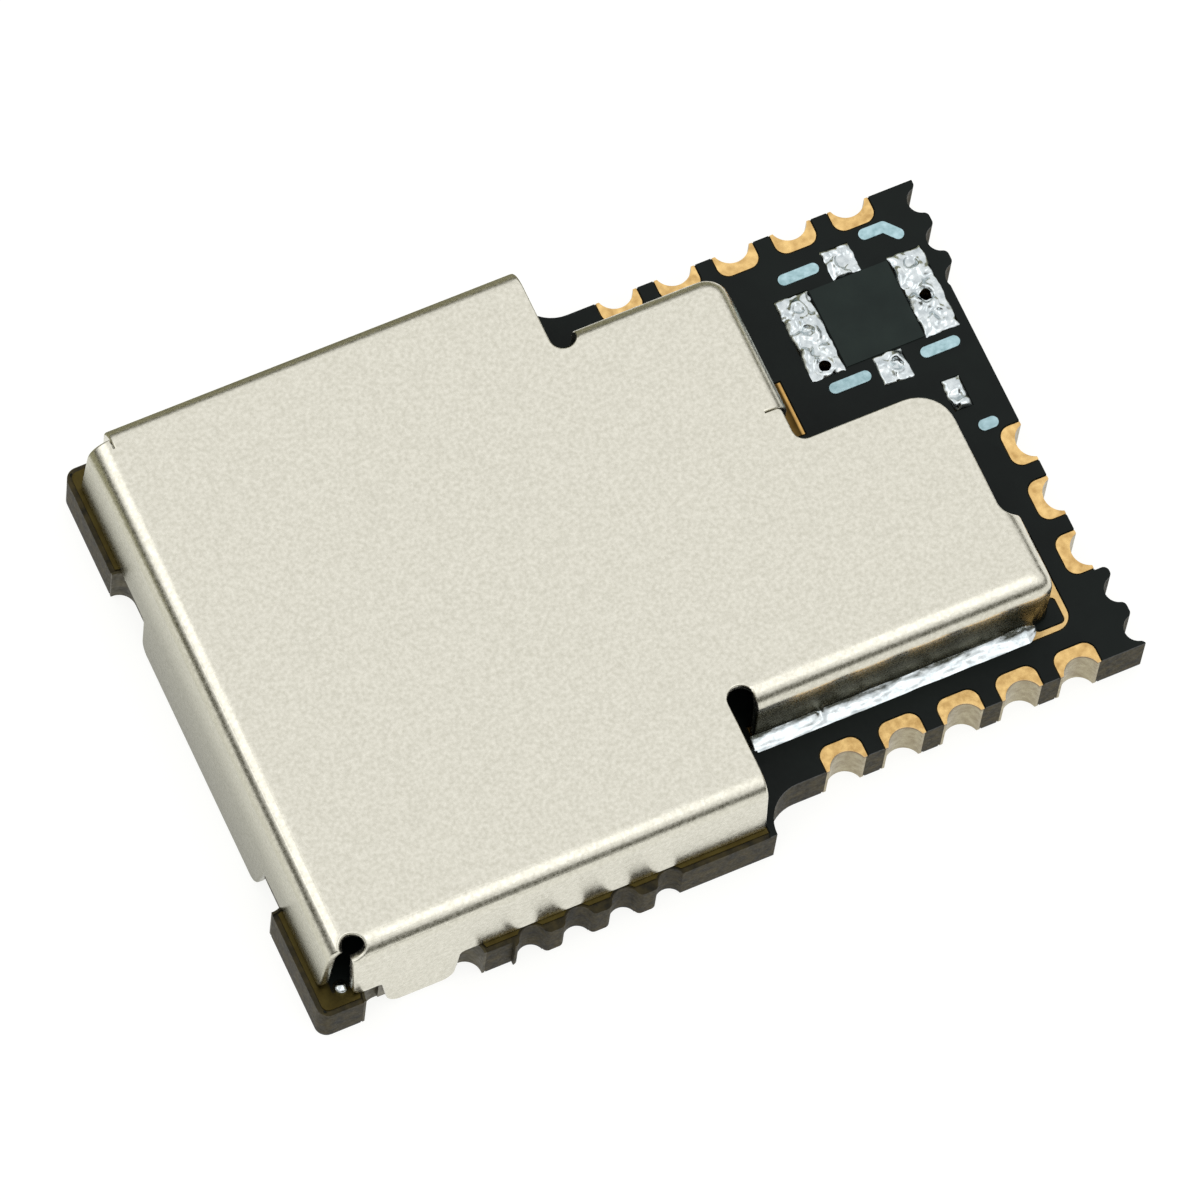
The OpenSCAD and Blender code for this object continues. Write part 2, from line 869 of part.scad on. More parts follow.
// Flat top of the can, up to the fold lines and the raw cut edges
module can_top_2d() {
    b = bend_r;
    bay_cut_x = bay_x - sheet_t;
    bay_wall_y = bay_y + bay_relief_l;
    polygon([
        [can_left + b, b - can_wide], [can_step, b - can_wide], [can_step, can_near + b],
        [can_right - b, can_near + b], [can_right - b, bay_y],
        [bay_cut_x, bay_y], [bay_cut_x, bay_wall_y], [bay_x - b, bay_wall_y], [bay_x - b, can_far - b],
        [can_step, can_far - b], [can_step, can_wide - b], [can_left + b, can_wide - b],
    ]);
    translate([bay_x - b, can_far - b])
        circle(lobe_r);
    difference() {
        translate([bay_cut_x, bay_y])
            square(bay_relief_r);
        translate([bay_cut_x + bay_relief_r, bay_y + bay_relief_r])
            circle(bay_relief_r);
    }
}

// Round-ended slots beside the two steps
module can_reliefs_2d() {
    mid_x = can_step + relief_w / 2;
    reach = bend_r + relief_over - relief_w / 2;
    track_2d([[mid_x, -can_wide], [mid_x, can_near + reach]], relief_w);
    track_2d([[mid_x, can_wide], [mid_x, can_far - reach]], relief_w);
}

// Sheet that is trimmed off past the right edge's lip and its large corner
module lip_trim_2d() {
    r = bay_corner_r;
    lip_x = can_right - bend_r + right_lip;
    translate([lip_x + lip_corner_r, right_wall_end])
        square([bend_r, bay_y - right_wall_end]);
    translate([lip_x, right_wall_end + lip_corner_r])
        square([bend_r, bay_y - right_wall_end - lip_corner_r]);
    translate([lip_x + lip_corner_r, right_wall_end + lip_corner_r])
        circle(lip_corner_r);
    difference() {
        translate([lip_x - r, bay_y - r])
            square(r + bend_r);
        translate([lip_x - r, bay_y - r])
            circle(r);
    }
}

// Rounded corner where two folds meet: one eighth of a hollow ball
module ball_corner() {
    intersection() {
        difference() {
            sphere(bend_r);
            sphere(bend_r - sheet_t);
        }
        translate([0, -bend_r, 0])
            cube(bend_r);
    }
}

module shield_can() {
    b = bend_r;
    left_len = 2 * (can_wide - b + left_wall_over);
    near_wide_len = can_step - can_left - near_wall_start;
    far_wide_len = can_step - can_left - far_wall_start;
    color(nickel)
        difference() {
            union() {
                translate([0, 0, can_top - sheet_t])
                    linear_extrude(sheet_t)
                        can_top_2d();
                translate([can_left + b, left_len / 2])
                    rotate(180)
                        folded_wall(left_len);
                translate([can_left + near_wall_start, b - can_wide])
                    rotate(-90)
                        folded_wall(near_wide_len);
                translate([can_step, can_wide - b])
                    rotate(90)
                        folded_wall(far_wide_len);
                translate([can_step, can_near + b])
                    rotate(-90)
                        folded_wall(can_right - b - can_step);
                translate([bay_x - b, can_far - b])
                    rotate(90)
                        folded_wall(bay_x - b - can_step);
                translate([can_right - b, can_near + b])
                    folded_wall(bay_y - can_near - b);
                translate([can_right - b, can_near + b, can_top - b])
                    ball_corner();
                translate([bay_x - b, bay_y + bay_relief_l])
                    folded_wall(can_far - b - bay_y - bay_relief_l);
                can_tabs();
            }
            translate([0, 0, z_land - past])
                linear_extrude(can_h + 2 * past) {
                    can_reliefs_2d();
                    lip_trim_2d();
                }
            translate([keyhole_x, keyhole_y, can_top - b])
                cylinder(r = keyhole_r, h = b + past);
        }
}

// Tabs that carry the walls on down into the slots
module can_tabs() {
    lap = sheet_t;
    translate([can_left, -left_tab_w / 2, tab_foot])
        cube([sheet_t, left_tab_w, tab_h + lap]);
    for (s = [-1, 1])
        translate([tab_x - side_tab_w / 2, s > 0 ? can_wide - sheet_t : -can_wide, tab_foot])
            cube([side_tab_w, sheet_t, tab_h + lap]);
}

// Hollow solder fillet along the foot of the narrow half's near wall, and the bead in the keyhole corner
module shield_seam_solder() {
    seam_l = can_right - bend_r - relief_end;
    hollow = 1.5 * land_out;
    hollow_r = norm([hollow, hollow - land_out]);
    color(solder) {
        translate([relief_end, can_near, z_land])
            rotate([90, 0, 90])
                linear_extrude(seam_l)
                    difference() {
                        polygon([[0, 0], [0, land_out], [-land_out, 0]]);
                        translate([-hollow, hollow])
                            circle(hollow_r);
                    }
        translate([corner_bead_x, corner_bead_y, z_land])
            intersection() {
                sphere(corner_bead_r);
                cylinder(r = corner_bead_r, h = corner_bead_r);
            }
    }
}

// Solder that fills each slot between the tab and the plated floor
module tab_solder() {
    color(solder)
        translate([0, 0, tab_foot])
            linear_extrude(tab_h)
                at_slots()
                    intersection() {
                        slot_2d($slot_l, slot_depth, slot_r);
                        translate([-$tab_w / 2, -slot_depth])
                            square([$tab_w, tab_clear]);
                    }
}

// Antenna connector site

module connector_ground_lands() {
    color(gold)
        difference() {
            union() {
                translate([0, 0, z_lam_top])
                    linear_extrude(land_t)
                        at_ground_lands()
                            plain_land_2d(ground_land_w, ground_land_l);
                translate([0, 0, layer_t])
                    linear_extrude(laminate_t + land_t)
                        at_vias()
                            circle(via_d / 2 + plating_t);
            }
            linear_extrude(board_t)
                at_vias()
                    circle(via_d / 2);
        }
}

module connector_signal_lands() {
    color(gold)
        translate([0, 0, z_lam_top])
            linear_extrude(land_t)
                at_signal_lands()
                    plain_land_2d(signal_land_w, signal_land_l);
}

// Arched bead of solder on a land of the given width and length
module solder_bead(w, l, h) {
    arch_r = (w * w / 4 + h * h) / (2 * h);
    intersection() {
        linear_extrude(h)
            rounded_rect_2d(w, l, w / 6);
        translate([0, l / 2, h - arch_r])
            rotate([90, 0, 0])
                cylinder(r = arch_r, h = l, $fn = 128);
    }
}

module connector_ground_solder() {
    color(solder)
        difference() {
            translate([0, 0, z_land])
                at_ground_lands()
                    solder_bead(ground_land_w - 2 * bead_inset, ground_land_l - 2 * bead_inset, bead_h);
            translate([0, 0, z_land - past])
                linear_extrude(2 * past)
                    at_vias()
                        circle(via_d / 2);
        }
}

module connector_signal_solder() {
    color(solder)
        translate([0, 0, z_land])
            at_signal_lands()
                solder_bead(signal_land_w - 2 * bead_inset, signal_land_l - 2 * bead_inset, bead_h);
}

module antenna_link_land() {
    color(gold)
        translate([link_x, link_y, z_lam_top])
            linear_extrude(land_t)
                plain_land_2d(link_land_w, link_land_l);
}

module antenna_link_solder() {
    color(solder)
        translate([link_x, link_y, z_land])
            solder_bead(link_land_w - 2 * bead_inset, link_land_l - 2 * bead_inset, bead_h);
}

module silkscreen_marks() {
    color("lightcyan")
        translate([site_x, site_y, board_t])
            linear_extrude(mark_t)
                for (path = mark_paths)
                    track_2d(path, mark_w);
}

// Parts under the can

module component_lands() {
    color(gold)
        translate([0, 0, z_lam_top])
            linear_extrude(land_t)
                component_lands_2d();
}

// Wedge of solder up the two ends of a chip part that lies along X
module end_fillets(l, w) {
    for (turn = [0, 180])
        rotate(turn)
            translate([l / 2, w / 2, 0])
                rotate([90, 0, 0])
                    linear_extrude(w)
                        polygon([[0, 0], [fillet_l, 0], [0, fillet_h]]);
}

module component_solder() {
    color(solder)
        translate([0, 0, z_land]) {
            linear_extrude(film_t)
                component_lands_2d();
            translate([0, 0, film_t]) {
                at_small(concat(capacitors, inductors))
                    end_fillets(chip_l, chip_t);
                at_coil()
                    end_fillets(coil_l, coil_w);
            }
        }
}

module chip_terminals_shape() {
    at_chip_pins()
        translate([-pin_l, -pin_w / 2, 0])
            cube([pin_l, pin_w, pin_h]);
    translate([chip_x - chip_pad_w / 2, chip_y - chip_pad_w / 2, 0])
        cube([chip_pad_w, chip_pad_w, pin_h]);
}

module transceiver_chip() {
    dot_d = 0.4;
    dot_depth = 0.05;
    color(mould_black)
        translate([0, 0, z_part])
            difference() {
                translate([chip_x - chip_w / 2, chip_y - chip_w / 2, 0])
                    cube([chip_w, chip_w, chip_h]);
                chip_terminals_shape();
                translate([chip_x - chip_w / 2 + dot_d, chip_y + chip_w / 2 - dot_d, chip_h - dot_depth])
                    cylinder(d = dot_d, h = past);
            }
}

module transceiver_terminals() {
    color(tinned)
        translate([0, 0, z_part])
            chip_terminals_shape();
}

module oscillator_base() {
    color(ceramic_tan)
        translate([column_x, osc_y, z_part])
            linear_extrude(osc_base_h)
                difference() {
                    square([osc_w, osc_l], center = true);
                    for (sx = [-1, 1], sy = [-1, 1])
                        translate([sx * osc_w / 2, sy * osc_l / 2])
                            circle(osc_notch_r);
                }
}

module oscillator_lid() {
    color(nickel)
        translate([column_x, osc_y, z_part + osc_base_h])
            linear_extrude(osc_lid_h)
                rounded_rect_2d(osc_w - 2 * osc_rim, osc_l - 2 * osc_rim, osc_rim);
}

module antenna_switch_body() {
    color(mould_black)
        translate([switch_x - switch_w / 2, switch_y - switch_l / 2, z_part + switch_standoff])
            cube([switch_w, switch_l, switch_h]);
}

// Gull-wing leads: foot on the land, riser and a flat run into the body's side
module antenna_switch_leads() {
    t = switch_lead_t;
    knee = lead_reach - switch_lead_foot;
    top = switch_lead_rise;
    color(tinned)
        translate([0, 0, z_part])
            at_switch_leads()
                translate([0, switch_lead_w / 2, 0])
                    rotate([90, 0, 0])
                        linear_extrude(switch_lead_w)
                            polygon([
                                [0, top - t], [knee - t, top - t], [knee, 0], [lead_reach, 0],
                                [lead_reach, t], [knee + t / 2, t], [knee, top], [0, top],
                            ]);
}

// Middle and end caps of a chip part that lies along X
module chip_body(l, w, h, cap) {
    relief = 0.02;
    translate([cap - l / 2, relief - w / 2, relief])
        cube([l - 2 * cap, w - 2 * relief, h - 2 * relief]);
}

module chip_caps(l, w, h, cap) {
    for (s = [-1, 1])
        translate([s * (l - cap) / 2 - cap / 2, -w / 2, 0])
            cube([cap, w, h]);
}

module converter_inductor_core() {
    color(mould_black)
        translate([0, 0, z_part])
            at_coil()
                chip_body(coil_l, coil_w, coil_h, cap_l);
}

module converter_inductor_terminals() {
    color(tinned)
        translate([0, 0, z_part])
            at_coil()
                chip_caps(coil_l, coil_w, coil_h, cap_l);
}

module matching_inductor_bodies() {
    color("white")
        translate([0, 0, z_part])
            at_small(inductors)
                chip_body(chip_l, chip_t, chip_t, cap_l);
}

module matching_inductor_terminals() {
    color(tinned)
        translate([0, 0, z_part])
            at_small(inductors)
                chip_caps(chip_l, chip_t, chip_t, cap_l);
}

module capacitor_bodies() {
    color(ceramic_tan)
        translate([0, 0, z_part])
            at_small(capacitors)
                chip_body(chip_l, chip_t, chip_t, cap_l);
}

module capacitor_terminals() {
    color(tinned)
        translate([0, 0, z_part])
            at_small(capacitors)
                chip_caps(chip_l, chip_t, chip_t, cap_l);
}

board_laminate();
top_solder_mask();
bottom_solder_mask();
far_castellations();
near_castellations();
right_castellations();
tab_slot_plating();
shield_ground_land();
shield_can();
shield_seam_solder();
tab_solder();
connector_ground_lands();
connector_signal_lands();
connector_ground_solder();
connector_signal_solder();
antenna_link_land();
antenna_link_solder();
silkscreen_marks();
component_lands();
component_solder();
transceiver_chip();
transceiver_terminals();
oscillator_base();
oscillator_lid();
antenna_switch_body();
antenna_switch_leads();
converter_inductor_core();
converter_inductor_terminals();
matching_inductor_bodies();
matching_inductor_terminals();
capacitor_bodies();
capacitor_terminals();
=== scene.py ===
"""Dressed model of a small shielded radio module: stepped board, plated half holes and a folded metal can."""
import logging
import math
from dataclasses import dataclass
from enum import Enum
from typing import Optional, Sequence, Union

import bmesh
import bpy
from mathutils import Euler, Matrix, Vector, noise


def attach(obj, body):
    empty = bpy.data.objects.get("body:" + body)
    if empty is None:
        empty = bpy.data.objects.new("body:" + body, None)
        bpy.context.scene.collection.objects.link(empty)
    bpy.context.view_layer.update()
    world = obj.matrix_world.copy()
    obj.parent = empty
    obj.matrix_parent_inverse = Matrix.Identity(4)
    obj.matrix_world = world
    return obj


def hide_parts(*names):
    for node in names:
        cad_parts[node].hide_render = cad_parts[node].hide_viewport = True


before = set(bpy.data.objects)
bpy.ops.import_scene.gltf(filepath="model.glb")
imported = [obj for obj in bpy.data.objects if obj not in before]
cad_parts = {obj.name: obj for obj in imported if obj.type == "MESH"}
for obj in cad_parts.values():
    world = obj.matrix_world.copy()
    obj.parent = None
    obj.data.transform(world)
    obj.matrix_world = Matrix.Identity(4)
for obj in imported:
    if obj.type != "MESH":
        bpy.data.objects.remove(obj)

LOG = logging.getLogger("radio_module")
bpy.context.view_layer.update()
MM = 0.001
# Distance in millimetres below which two points count as one
TINY = 1e-4
# Band that nearly all values of a noise texture lie in
NOISE_BAND = (0.3, 0.7)
# Slice of the noise that lumps are read from, how fast finer lumps flatten, and how much finer each octave is
LUMP_SLICE, LUMP_FALL, LUMP_RATIO = 0.37, 0.9, 2.1

Colour = tuple[float, float, float, float]
Point = tuple[float, float]
Corner = tuple[float, float, float]
Feed = Union[bpy.types.NodeSocket, float, Colour, Vector]


def linear(code: str) -> Colour:
    """Turns an sRGB hex code to linear colour.

    Args:
        code: six hex digits with a leading hash sign.

    Returns:
        Linear red, green and blue with an alpha of one.
    """
    parts = [int(code[i:i + 2], 16) / 255 for i in (1, 3, 5)]
    red, green, blue = (p / 12.92 if p <= 0.04045 else ((p + 0.055) / 1.055) ** 2.4 for p in parts)
    return (red, green, blue, 1.0)


def per_mm(size: float) -> float:
    """Scale of a texture on Object coordinates in metres.

    Args:
        size: width of the texture's features in millimetres.

    Returns:
        The scale to set.
    """
    return 1.0 / (size * MM)


def add_node(
    tree: bpy.types.NodeTree, kind: str, feeds: Optional[dict[Union[str, int], Feed]] = None, **settings: str
) -> bpy.types.Node:
    """Adds one node with its settings and inputs.

    Args:
        tree: the node tree that takes the node.
        kind: the node's type name, without the ShaderNode prefix.
        feeds: input name or index to the socket that is linked to it, or to its constant value.
        settings: properties of the node.

    Returns:
        The new node.
    """
    node = tree.nodes.new("ShaderNode" + kind)
    for name, value in settings.items():
        setattr(node, name, value)
    for name, value in (feeds or {}).items():
        if isinstance(value, bpy.types.NodeSocket):
            tree.links.new(value, node.inputs[name])
        else:
            node.inputs[name].default_value = value
    return node


def set_stops(node: bpy.types.Node, stops: Sequence[tuple[float, Colour]]) -> bpy.types.NodeSocket:
    """Sets the stops of a colour ramp.

    Args:
        node: the ramp.
        stops: positions and colours from low to high.

    Returns:
        The ramp's colour output.
    """
    elements = node.color_ramp.elements
    while len(elements) < len(stops):
        elements.new(1.0)
    for element, (position, colour) in zip(elements, stops):
        element.position = position
        element.color = colour
    return node.outputs["Color"]


@dataclass(frozen=True)
class Finish:
    """One real material: its colours, gloss and the size of its surface detail.

    Attributes:
        name: the material's common name and how its surface was made.
        light: sRGB hex of the lighter tone.
        dark: sRGB hex of the darker tone.
        metallic: one for a bare metal, zero for the rest.
        rough: roughness at the surface's smoothest and roughest places.
        patch_mm: width of the tone patches in millimetres.
        grain_mm: width of the surface grain in millimetres.
        grain_depth_mm: height of that grain in millimetres.
        ior: refractive index.
        layers: places in millimetres along the axis, each with the sRGB hex that tints the tone there.
        axis: axis of the layers.
        glow: light that the surface gives off itself.
    """

    name: str
    light: str
    dark: str
    metallic: float
    rough: tuple[float, float]
    patch_mm: float
    grain_mm: float
    grain_depth_mm: float
    ior: float = 1.5
    layers: tuple[tuple[float, str], ...] = ()
    axis: str = "Z"
    glow: float = 0.0

    def material(self) -> bpy.types.Material:
        """Gives the Blender material of this finish, made once.

        Returns:
            The material with its node tree.
        """
        found = bpy.data.materials.get(self.name)
        if found:
            return found
        made = bpy.data.materials.new(self.name)
        made.use_nodes = True
        tree = made.node_tree
        tree.nodes.clear()
        place = add_node(tree, "TexCoord").outputs["Object"]
        grain = add_node(
            tree, "TexNoise", {"Vector": place, "Scale": per_mm(self.grain_mm), "Detail": 3.0}
        ).outputs["Fac"]
        gloss = add_node(tree, "MapRange", {
            "Value": grain, "From Min": NOISE_BAND[0], "From Max": NOISE_BAND[1],
            "To Min": self.rough[0], "To Max": self.rough[1],
        })
        bump = add_node(tree, "Bump", {
            "Height": grain, "Strength": 1.0, "Distance": self.grain_depth_mm * MM,
        })
        shader = add_node(tree, "BsdfPrincipled", {
            "Base Color": self.tone(tree, place), "Metallic": self.metallic, "IOR": self.ior,
            "Roughness": gloss.outputs["Result"], "Normal": bump.outputs["Normal"],
            "Emission Color": linear(self.light), "Emission Strength": self.glow,
        })
        add_node(tree, "OutputMaterial", {"Surface": shader.outputs["BSDF"]})
        return made

    def tone(self, tree: bpy.types.NodeTree, place: bpy.types.NodeSocket) -> bpy.types.NodeSocket:
        """Colour of the surface: soft patches of two tones, tinted along an axis where the finish has layers.

        Args:
            tree: the material's node tree.
            place: Object coordinates.

        Returns:
            The colour's socket.
        """
        patches = add_node(tree, "TexNoise", {"Vector": place, "Scale": per_mm(self.patch_mm), "Detail": 4.0})
        tone = set_stops(
            add_node(tree, "ValToRGB", {"Fac": patches.outputs["Fac"]}),
            list(zip(NOISE_BAND, (linear(self.dark), linear(self.light)))),
        )
        if not self.layers:
            return tone
        low, high = self.layers[0][0], self.layers[-1][0]
        along = add_node(tree, "SeparateXYZ", {"Vector": place}).outputs[self.axis]
        share = add_node(tree, "MapRange", {"Value": along, "From Min": low * MM, "From Max": high * MM})
        tint = set_stops(
            add_node(tree, "ValToRGB", {"Fac": share.outputs["Result"]}),
            [((level - low) / (high - low), linear(code)) for level, code in self.layers],
        )
        # The colour mix has its factor at input 0, its colours at 6 and 7 and its result at output 2
        mixed = add_node(tree, "Mix", {0: 1.0, 6: tone, 7: tint}, data_type="RGBA", blend_type="MULTIPLY")
        return mixed.outputs[2]


class Finishes(Enum):
    """Finishes of the module's pieces, each named for the real material."""

    # Rolled sheet with a fine matt grain: soft warm reflections, bright folds, and painted shade that darkens
    # the left wall, most at its foot
    NICKEL_SILVER = Finish(
        "nickel silver sheet, satin rolled", "#dfdccf", "#cac7b9", 1.0, (0.22, 0.33), 0.08, 0.06, 0.002,
        layers=(
            (-8.95, "#8c8c82"), (-8.83, "#aaaa9f"), (-8.77, "#d4d4cb"), (-8.72, "#e8e8e2"),
            (-8.62, "#ffffff"),
        ),
        axis="X",
    )
    # The same sheet above the soldered seam, with a painted dark reflection of the black mask shelf that
    # darkens it towards its foot
    DARK_REFLECTION_SILVER = Finish(
        "nickel silver sheet, painted dark reflection", "#dfdccf", "#c4c0aa", 1.0, (0.22, 0.33), 0.25, 0.06, 0.002,
        layers=((1.1, "#58573c"), (1.9, "#787354"), (2.2, "#aaa487"), (2.38, "#ffffff")),
    )
    # Cured liquid mask: near black with a dull sheen, a little paler on the plateau at the connector site
    BLACK_MASK = Finish(
        "black solder mask, cured", "#222b28", "#1c2422", 0.0, (0.36, 0.48), 0.7, 0.12, 0.002, 1.22,
        layers=((0.0, "#a4a3a3"), (1.105, "#a4a3a3"), (1.115, "#ffffff")),
    )
    # Routed glass cloth and epoxy: dark olive-brown with paler fibre bundles
    LAMINATE = Finish(
        "glass-epoxy laminate, routed edge", "#433b23", "#211f17", 0.0, (0.5, 0.7), 0.2, 0.06, 0.006, 1.25
    )
    # Immersion gold over nickel: warm, grainy lands, greyer down the barrels, with a line of painted shade at
    # their rim
    GOLD = Finish(
        "immersion gold plating", "#f0cb88", "#c39d62", 1.0, (0.24, 0.40), 0.16, 0.06, 0.004,
        layers=((0.0, "#b6ccf8"), (1.0, "#b6ccf8"), (1.04, "#6b5e48"), (1.075, "#ffffff")),
    )
    # The same gold under the can's walls, dimmer over the narrow half, with painted shade that darkens it
    # along the wide half and in a narrow band beside the bay wall
    GROUND_GOLD = Finish(
        "immersion gold plating, painted shade", "#e6c486", "#cba972", 1.0, (0.28, 0.45), 0.25, 0.07, 0.003,
        layers=(
            (0.5, "#595e4f"), (1.0, "#b8b09c"), (4.35, "#a09880"), (4.69, "#4a4432"), (4.72, "#ece0c6"),
            (6.2, "#ffffff"),
        ),
        axis="X",
    )
    # Tarnished copper in a milled slot: dull olive-brown metal
    SLOT_PLATING = Finish("tarnished slot plating", "#57513d", "#38352a", 1.0, (0.4, 0.6), 0.3, 0.08, 0.003)
    # Reflowed tin alloy: bright, wavy and almost white
    SOLDER = Finish("reflowed solder", "#dee4e5", "#b4bcbf", 1.0, (0.13, 0.25), 0.14, 0.06, 0.003)
    # Solder drawn down into the tab slots: dull and dark grey-brown
    DULL_SOLDER = Finish(
        "slot solder, dull dark grey", "#8b877a", "#57534a", 1.0, (0.35, 0.55), 0.2, 0.06, 0.004
    )
    # Printed epoxy ink: chalky pale blue-white
    INK = Finish("printed legend ink", "#b4d2d9", "#8fb0b6", 0.0, (0.55, 0.7), 0.12, 0.06, 0.002, 1.3)
    # Moulded epoxy of the chip packages: matt charcoal
    MOULDING = Finish("moulded epoxy package", "#2a2a2c", "#1f1f21", 0.0, (0.5, 0.65), 0.4, 0.05, 0.002, 1.55)
    # Fired ceramic of the chip capacitors and the oscillator: matt tan
    TAN_CERAMIC = Finish("fired tan ceramic", "#a58a68", "#8c7354", 0.0, (0.45, 0.6), 0.3, 0.05, 0.002, 1.6)
    # Fired ceramic of the matching inductors: matt white
    WHITE_CERAMIC = Finish(
        "fired white ceramic", "#e8e6e0", "#d4d1c8", 0.0, (0.45, 0.6), 0.3, 0.05, 0.002, 1.6
    )
    # Pressed ferrite: dark grey and faintly grainy
    FERRITE = Finish("pressed ferrite", "#3c3c3e", "#2c2c2e", 0.0, (0.5, 0.65), 0.3, 0.05, 0.003, 1.7)
    # Matt tin over copper on the terminals: soft grey metal
    TIN = Finish("matt tin plating", "#c8c8c4", "#adada8", 1.0, (0.35, 0.5), 0.25, 0.05, 0.002)
    # Opal light table: lit from below, so that the module casts no shadow on it
    LIGHT_TABLE = Finish(
        "opal light table", "#7d7d7c", "#7a7a79", 0.0, (0.7, 0.8), 40.0, 4.0, 0.001, 1.3, glow=4.15
    )
    # Olive felt of a studio flag: seen only in the far folds, as a darker band
    FELT = Finish("olive studio felt", "#b2b092", "#a4a286", 0.0, (0.9, 1.0), 5.0, 0.5, 0.001, 1.2)


NODE_FINISHES: dict[Finishes, tuple[str, ...]] = {
    Finishes.LAMINATE: ("board_laminate",),
    Finishes.BLACK_MASK: ("top_solder_mask", "bottom_solder_mask"),
    Finishes.GOLD: (
        "far_castellations", "near_castellations", "right_castellations", "connector_ground_lands",
        "connector_signal_lands", "antenna_link_land", "component_lands",
    ),
    Finishes.SLOT_PLATING: ("tab_slot_plating",),
    Finishes.GROUND_GOLD: ("shield_ground_land",),
    Finishes.NICKEL_SILVER: ("shield_can", "oscillator_lid"),
    Finishes.SOLDER: (
        "shield_seam_solder", "connector_ground_solder", "connector_signal_solder", "antenna_link_solder",
        "component_solder",
    ),
    Finishes.DULL_SOLDER: ("tab_solder",),
    Finishes.INK: ("silkscreen_marks",),
    Finishes.MOULDING: ("transceiver_chip", "antenna_switch_body"),
    Finishes.TIN: (
        "transceiver_terminals", "antenna_switch_leads", "converter_inductor_terminals",
        "matching_inductor_terminals", "capacitor_terminals",
    ),
    Finishes.TAN_CERAMIC: ("oscillator_base", "capacitor_bodies"),
    Finishes.FERRITE: ("converter_inductor_core",),
    Finishes.WHITE_CERAMIC: ("matching_inductor_bodies",),
}


def new_object(name: str, bm: bmesh.types.BMesh) -> bpy.types.Object:
    """Makes a scene object from a bmesh and frees the bmesh.

    Args:
        name: name of the object and its mesh.
        bm: the geometry.

    Returns:
        The object at the origin.
    """
    mesh = bpy.data.meshes.new(name)
    bm.to_mesh(mesh)
    bm.free()
    made = bpy.data.objects.new(name, mesh)
    bpy.context.scene.collection.objects.link(made)
    return made


def apply_modifiers(piece: bpy.types.Object) -> None:
    """Replaces an object's mesh by what its modifiers make of it.

    Args:
        piece: the object.
    """
    graph = bpy.context.evaluated_depsgraph_get()
    mesh = bpy.data.meshes.new_from_object(piece.evaluated_get(graph))
    piece.modifiers.clear()
    piece.data = mesh


def arc(centre: Point, radius: float, start: float, end: float, steps: int = 16) -> list[Point]:
    """Points along a circular arc, both ends included.

    Args:
        centre: middle of the circle.
        radius: radius of the circle.
        start: angle of the first point in degrees.
        end: angle of the last point in degrees.
        steps: number of stretches.

    Returns:
        The points in order.
    """
    angles = [math.radians(start + (end - start) * i / steps) for i in range(steps + 1)]
    return [(centre[0] + radius * math.cos(a), centre[1] + radius * math.sin(a)) for a in angles]


def rounded(corners: Sequence[Corner], before: Point, after: Point, steps: int = 8) -> list[Point]:
    """Outline through corners that each have a radius.

    Args:
        corners: x, y and radius of each corner, with a radius of zero for a sharp one.
        before: point of the outline before the first corner.
        after: point of the outline after the last corner.
        steps: stretches on each round corner.

    Returns:
        The outline's points in order.
    """
    points: list[Point] = []
    places = [Vector(before), *[Vector(c[:2]) for c in corners], Vector(after)]
    for last, here, following, (_, _, radius) in zip(places, places[1:], places[2:], corners):
        if not radius:
            points.append(tuple(here))
            continue
        back, on = (last - here).normalized(), (following - here).normalized()
        half = back.angle(on) / 2
        centre = here + (back + on).normalized() * radius / math.sin(half)
        first = here + back * radius / math.tan(half) - centre
        sweep = math.copysign(math.pi - 2 * half, back.y * on.x - back.x * on.y)
        points += [tuple(centre + Matrix.Rotation(sweep * i / steps, 2) @ first) for i in range(steps + 1)]
    return [p for p, following in zip(points, [*points[1:], after]) if math.dist(p, following) > TINY]


def smooth_by_angle(mesh: bpy.types.Mesh, degrees: float) -> None:
    """Shades a mesh smooth and keeps edges sharper than the angle crisp.

    Args:
        mesh: the mesh.
        degrees: the angle.
    """
    mesh.polygons.foreach_set("use_smooth", [True] * len(mesh.polygons))
    mesh.set_sharp_from_angle(angle=math.radians(degrees))


def unevenness(x: float, y: float, size: float, octaves: int = 1) -> float:
    """Smooth height variation, the same in every run.

    Args:
        x: place in millimetres.
        y: place in millimetres.
        size: width of the lumps in millimetres.
        octaves: how many sizes of lumps lie over each other, each about half as wide as the last.

    Returns:
        A value from about -1 to 1.
    """
    return noise.fractal(Vector((x / size, y / size, LUMP_SLICE)), LUMP_FALL, LUMP_RATIO, octaves)


@dataclass
class Board:
    """Sizes of the board in millimetres, as in the CAD source."""

    wide_len: float = 9.72
    narrow_len: float = 8.12
    wide_w: float = 12.5
    narrow_w: float = 10.88
    thickness: float = 1.1
    land_top: float = 1.09
    end_stub: float = 0.26
    site_inset: Point = (1.81, 2.31)
    link_inset: Point = (0.89, 4.57)

    @property
    def left(self) -> float:
        """X of the left edge."""
        return -(self.wide_len + self.narrow_len + self.end_stub) / 2

    @property
    def step(self) -> float:
        """X of the step between the halves."""
        return self.left + self.wide_len

    @property
    def right(self) -> float:
        """X of the right edge."""
        return self.step + self.narrow_len

    @property
    def far(self) -> float:
        """Y of the narrow half's far edge."""
        return self.narrow_w / 2

    def inset(self, by: Point, shift_x: float = 0.0, shift_y: float = 0.0) -> Point:
        """Place measured from the narrow half's far right corner.

        Args:
            by: distances from the right and the far edge.
            shift_x: further shift to the right.
            shift_y: further shift to the far side.

        Returns:
            The place.
        """
        return (self.right - by[0] + shift_x, self.far - by[1] + shift_y)


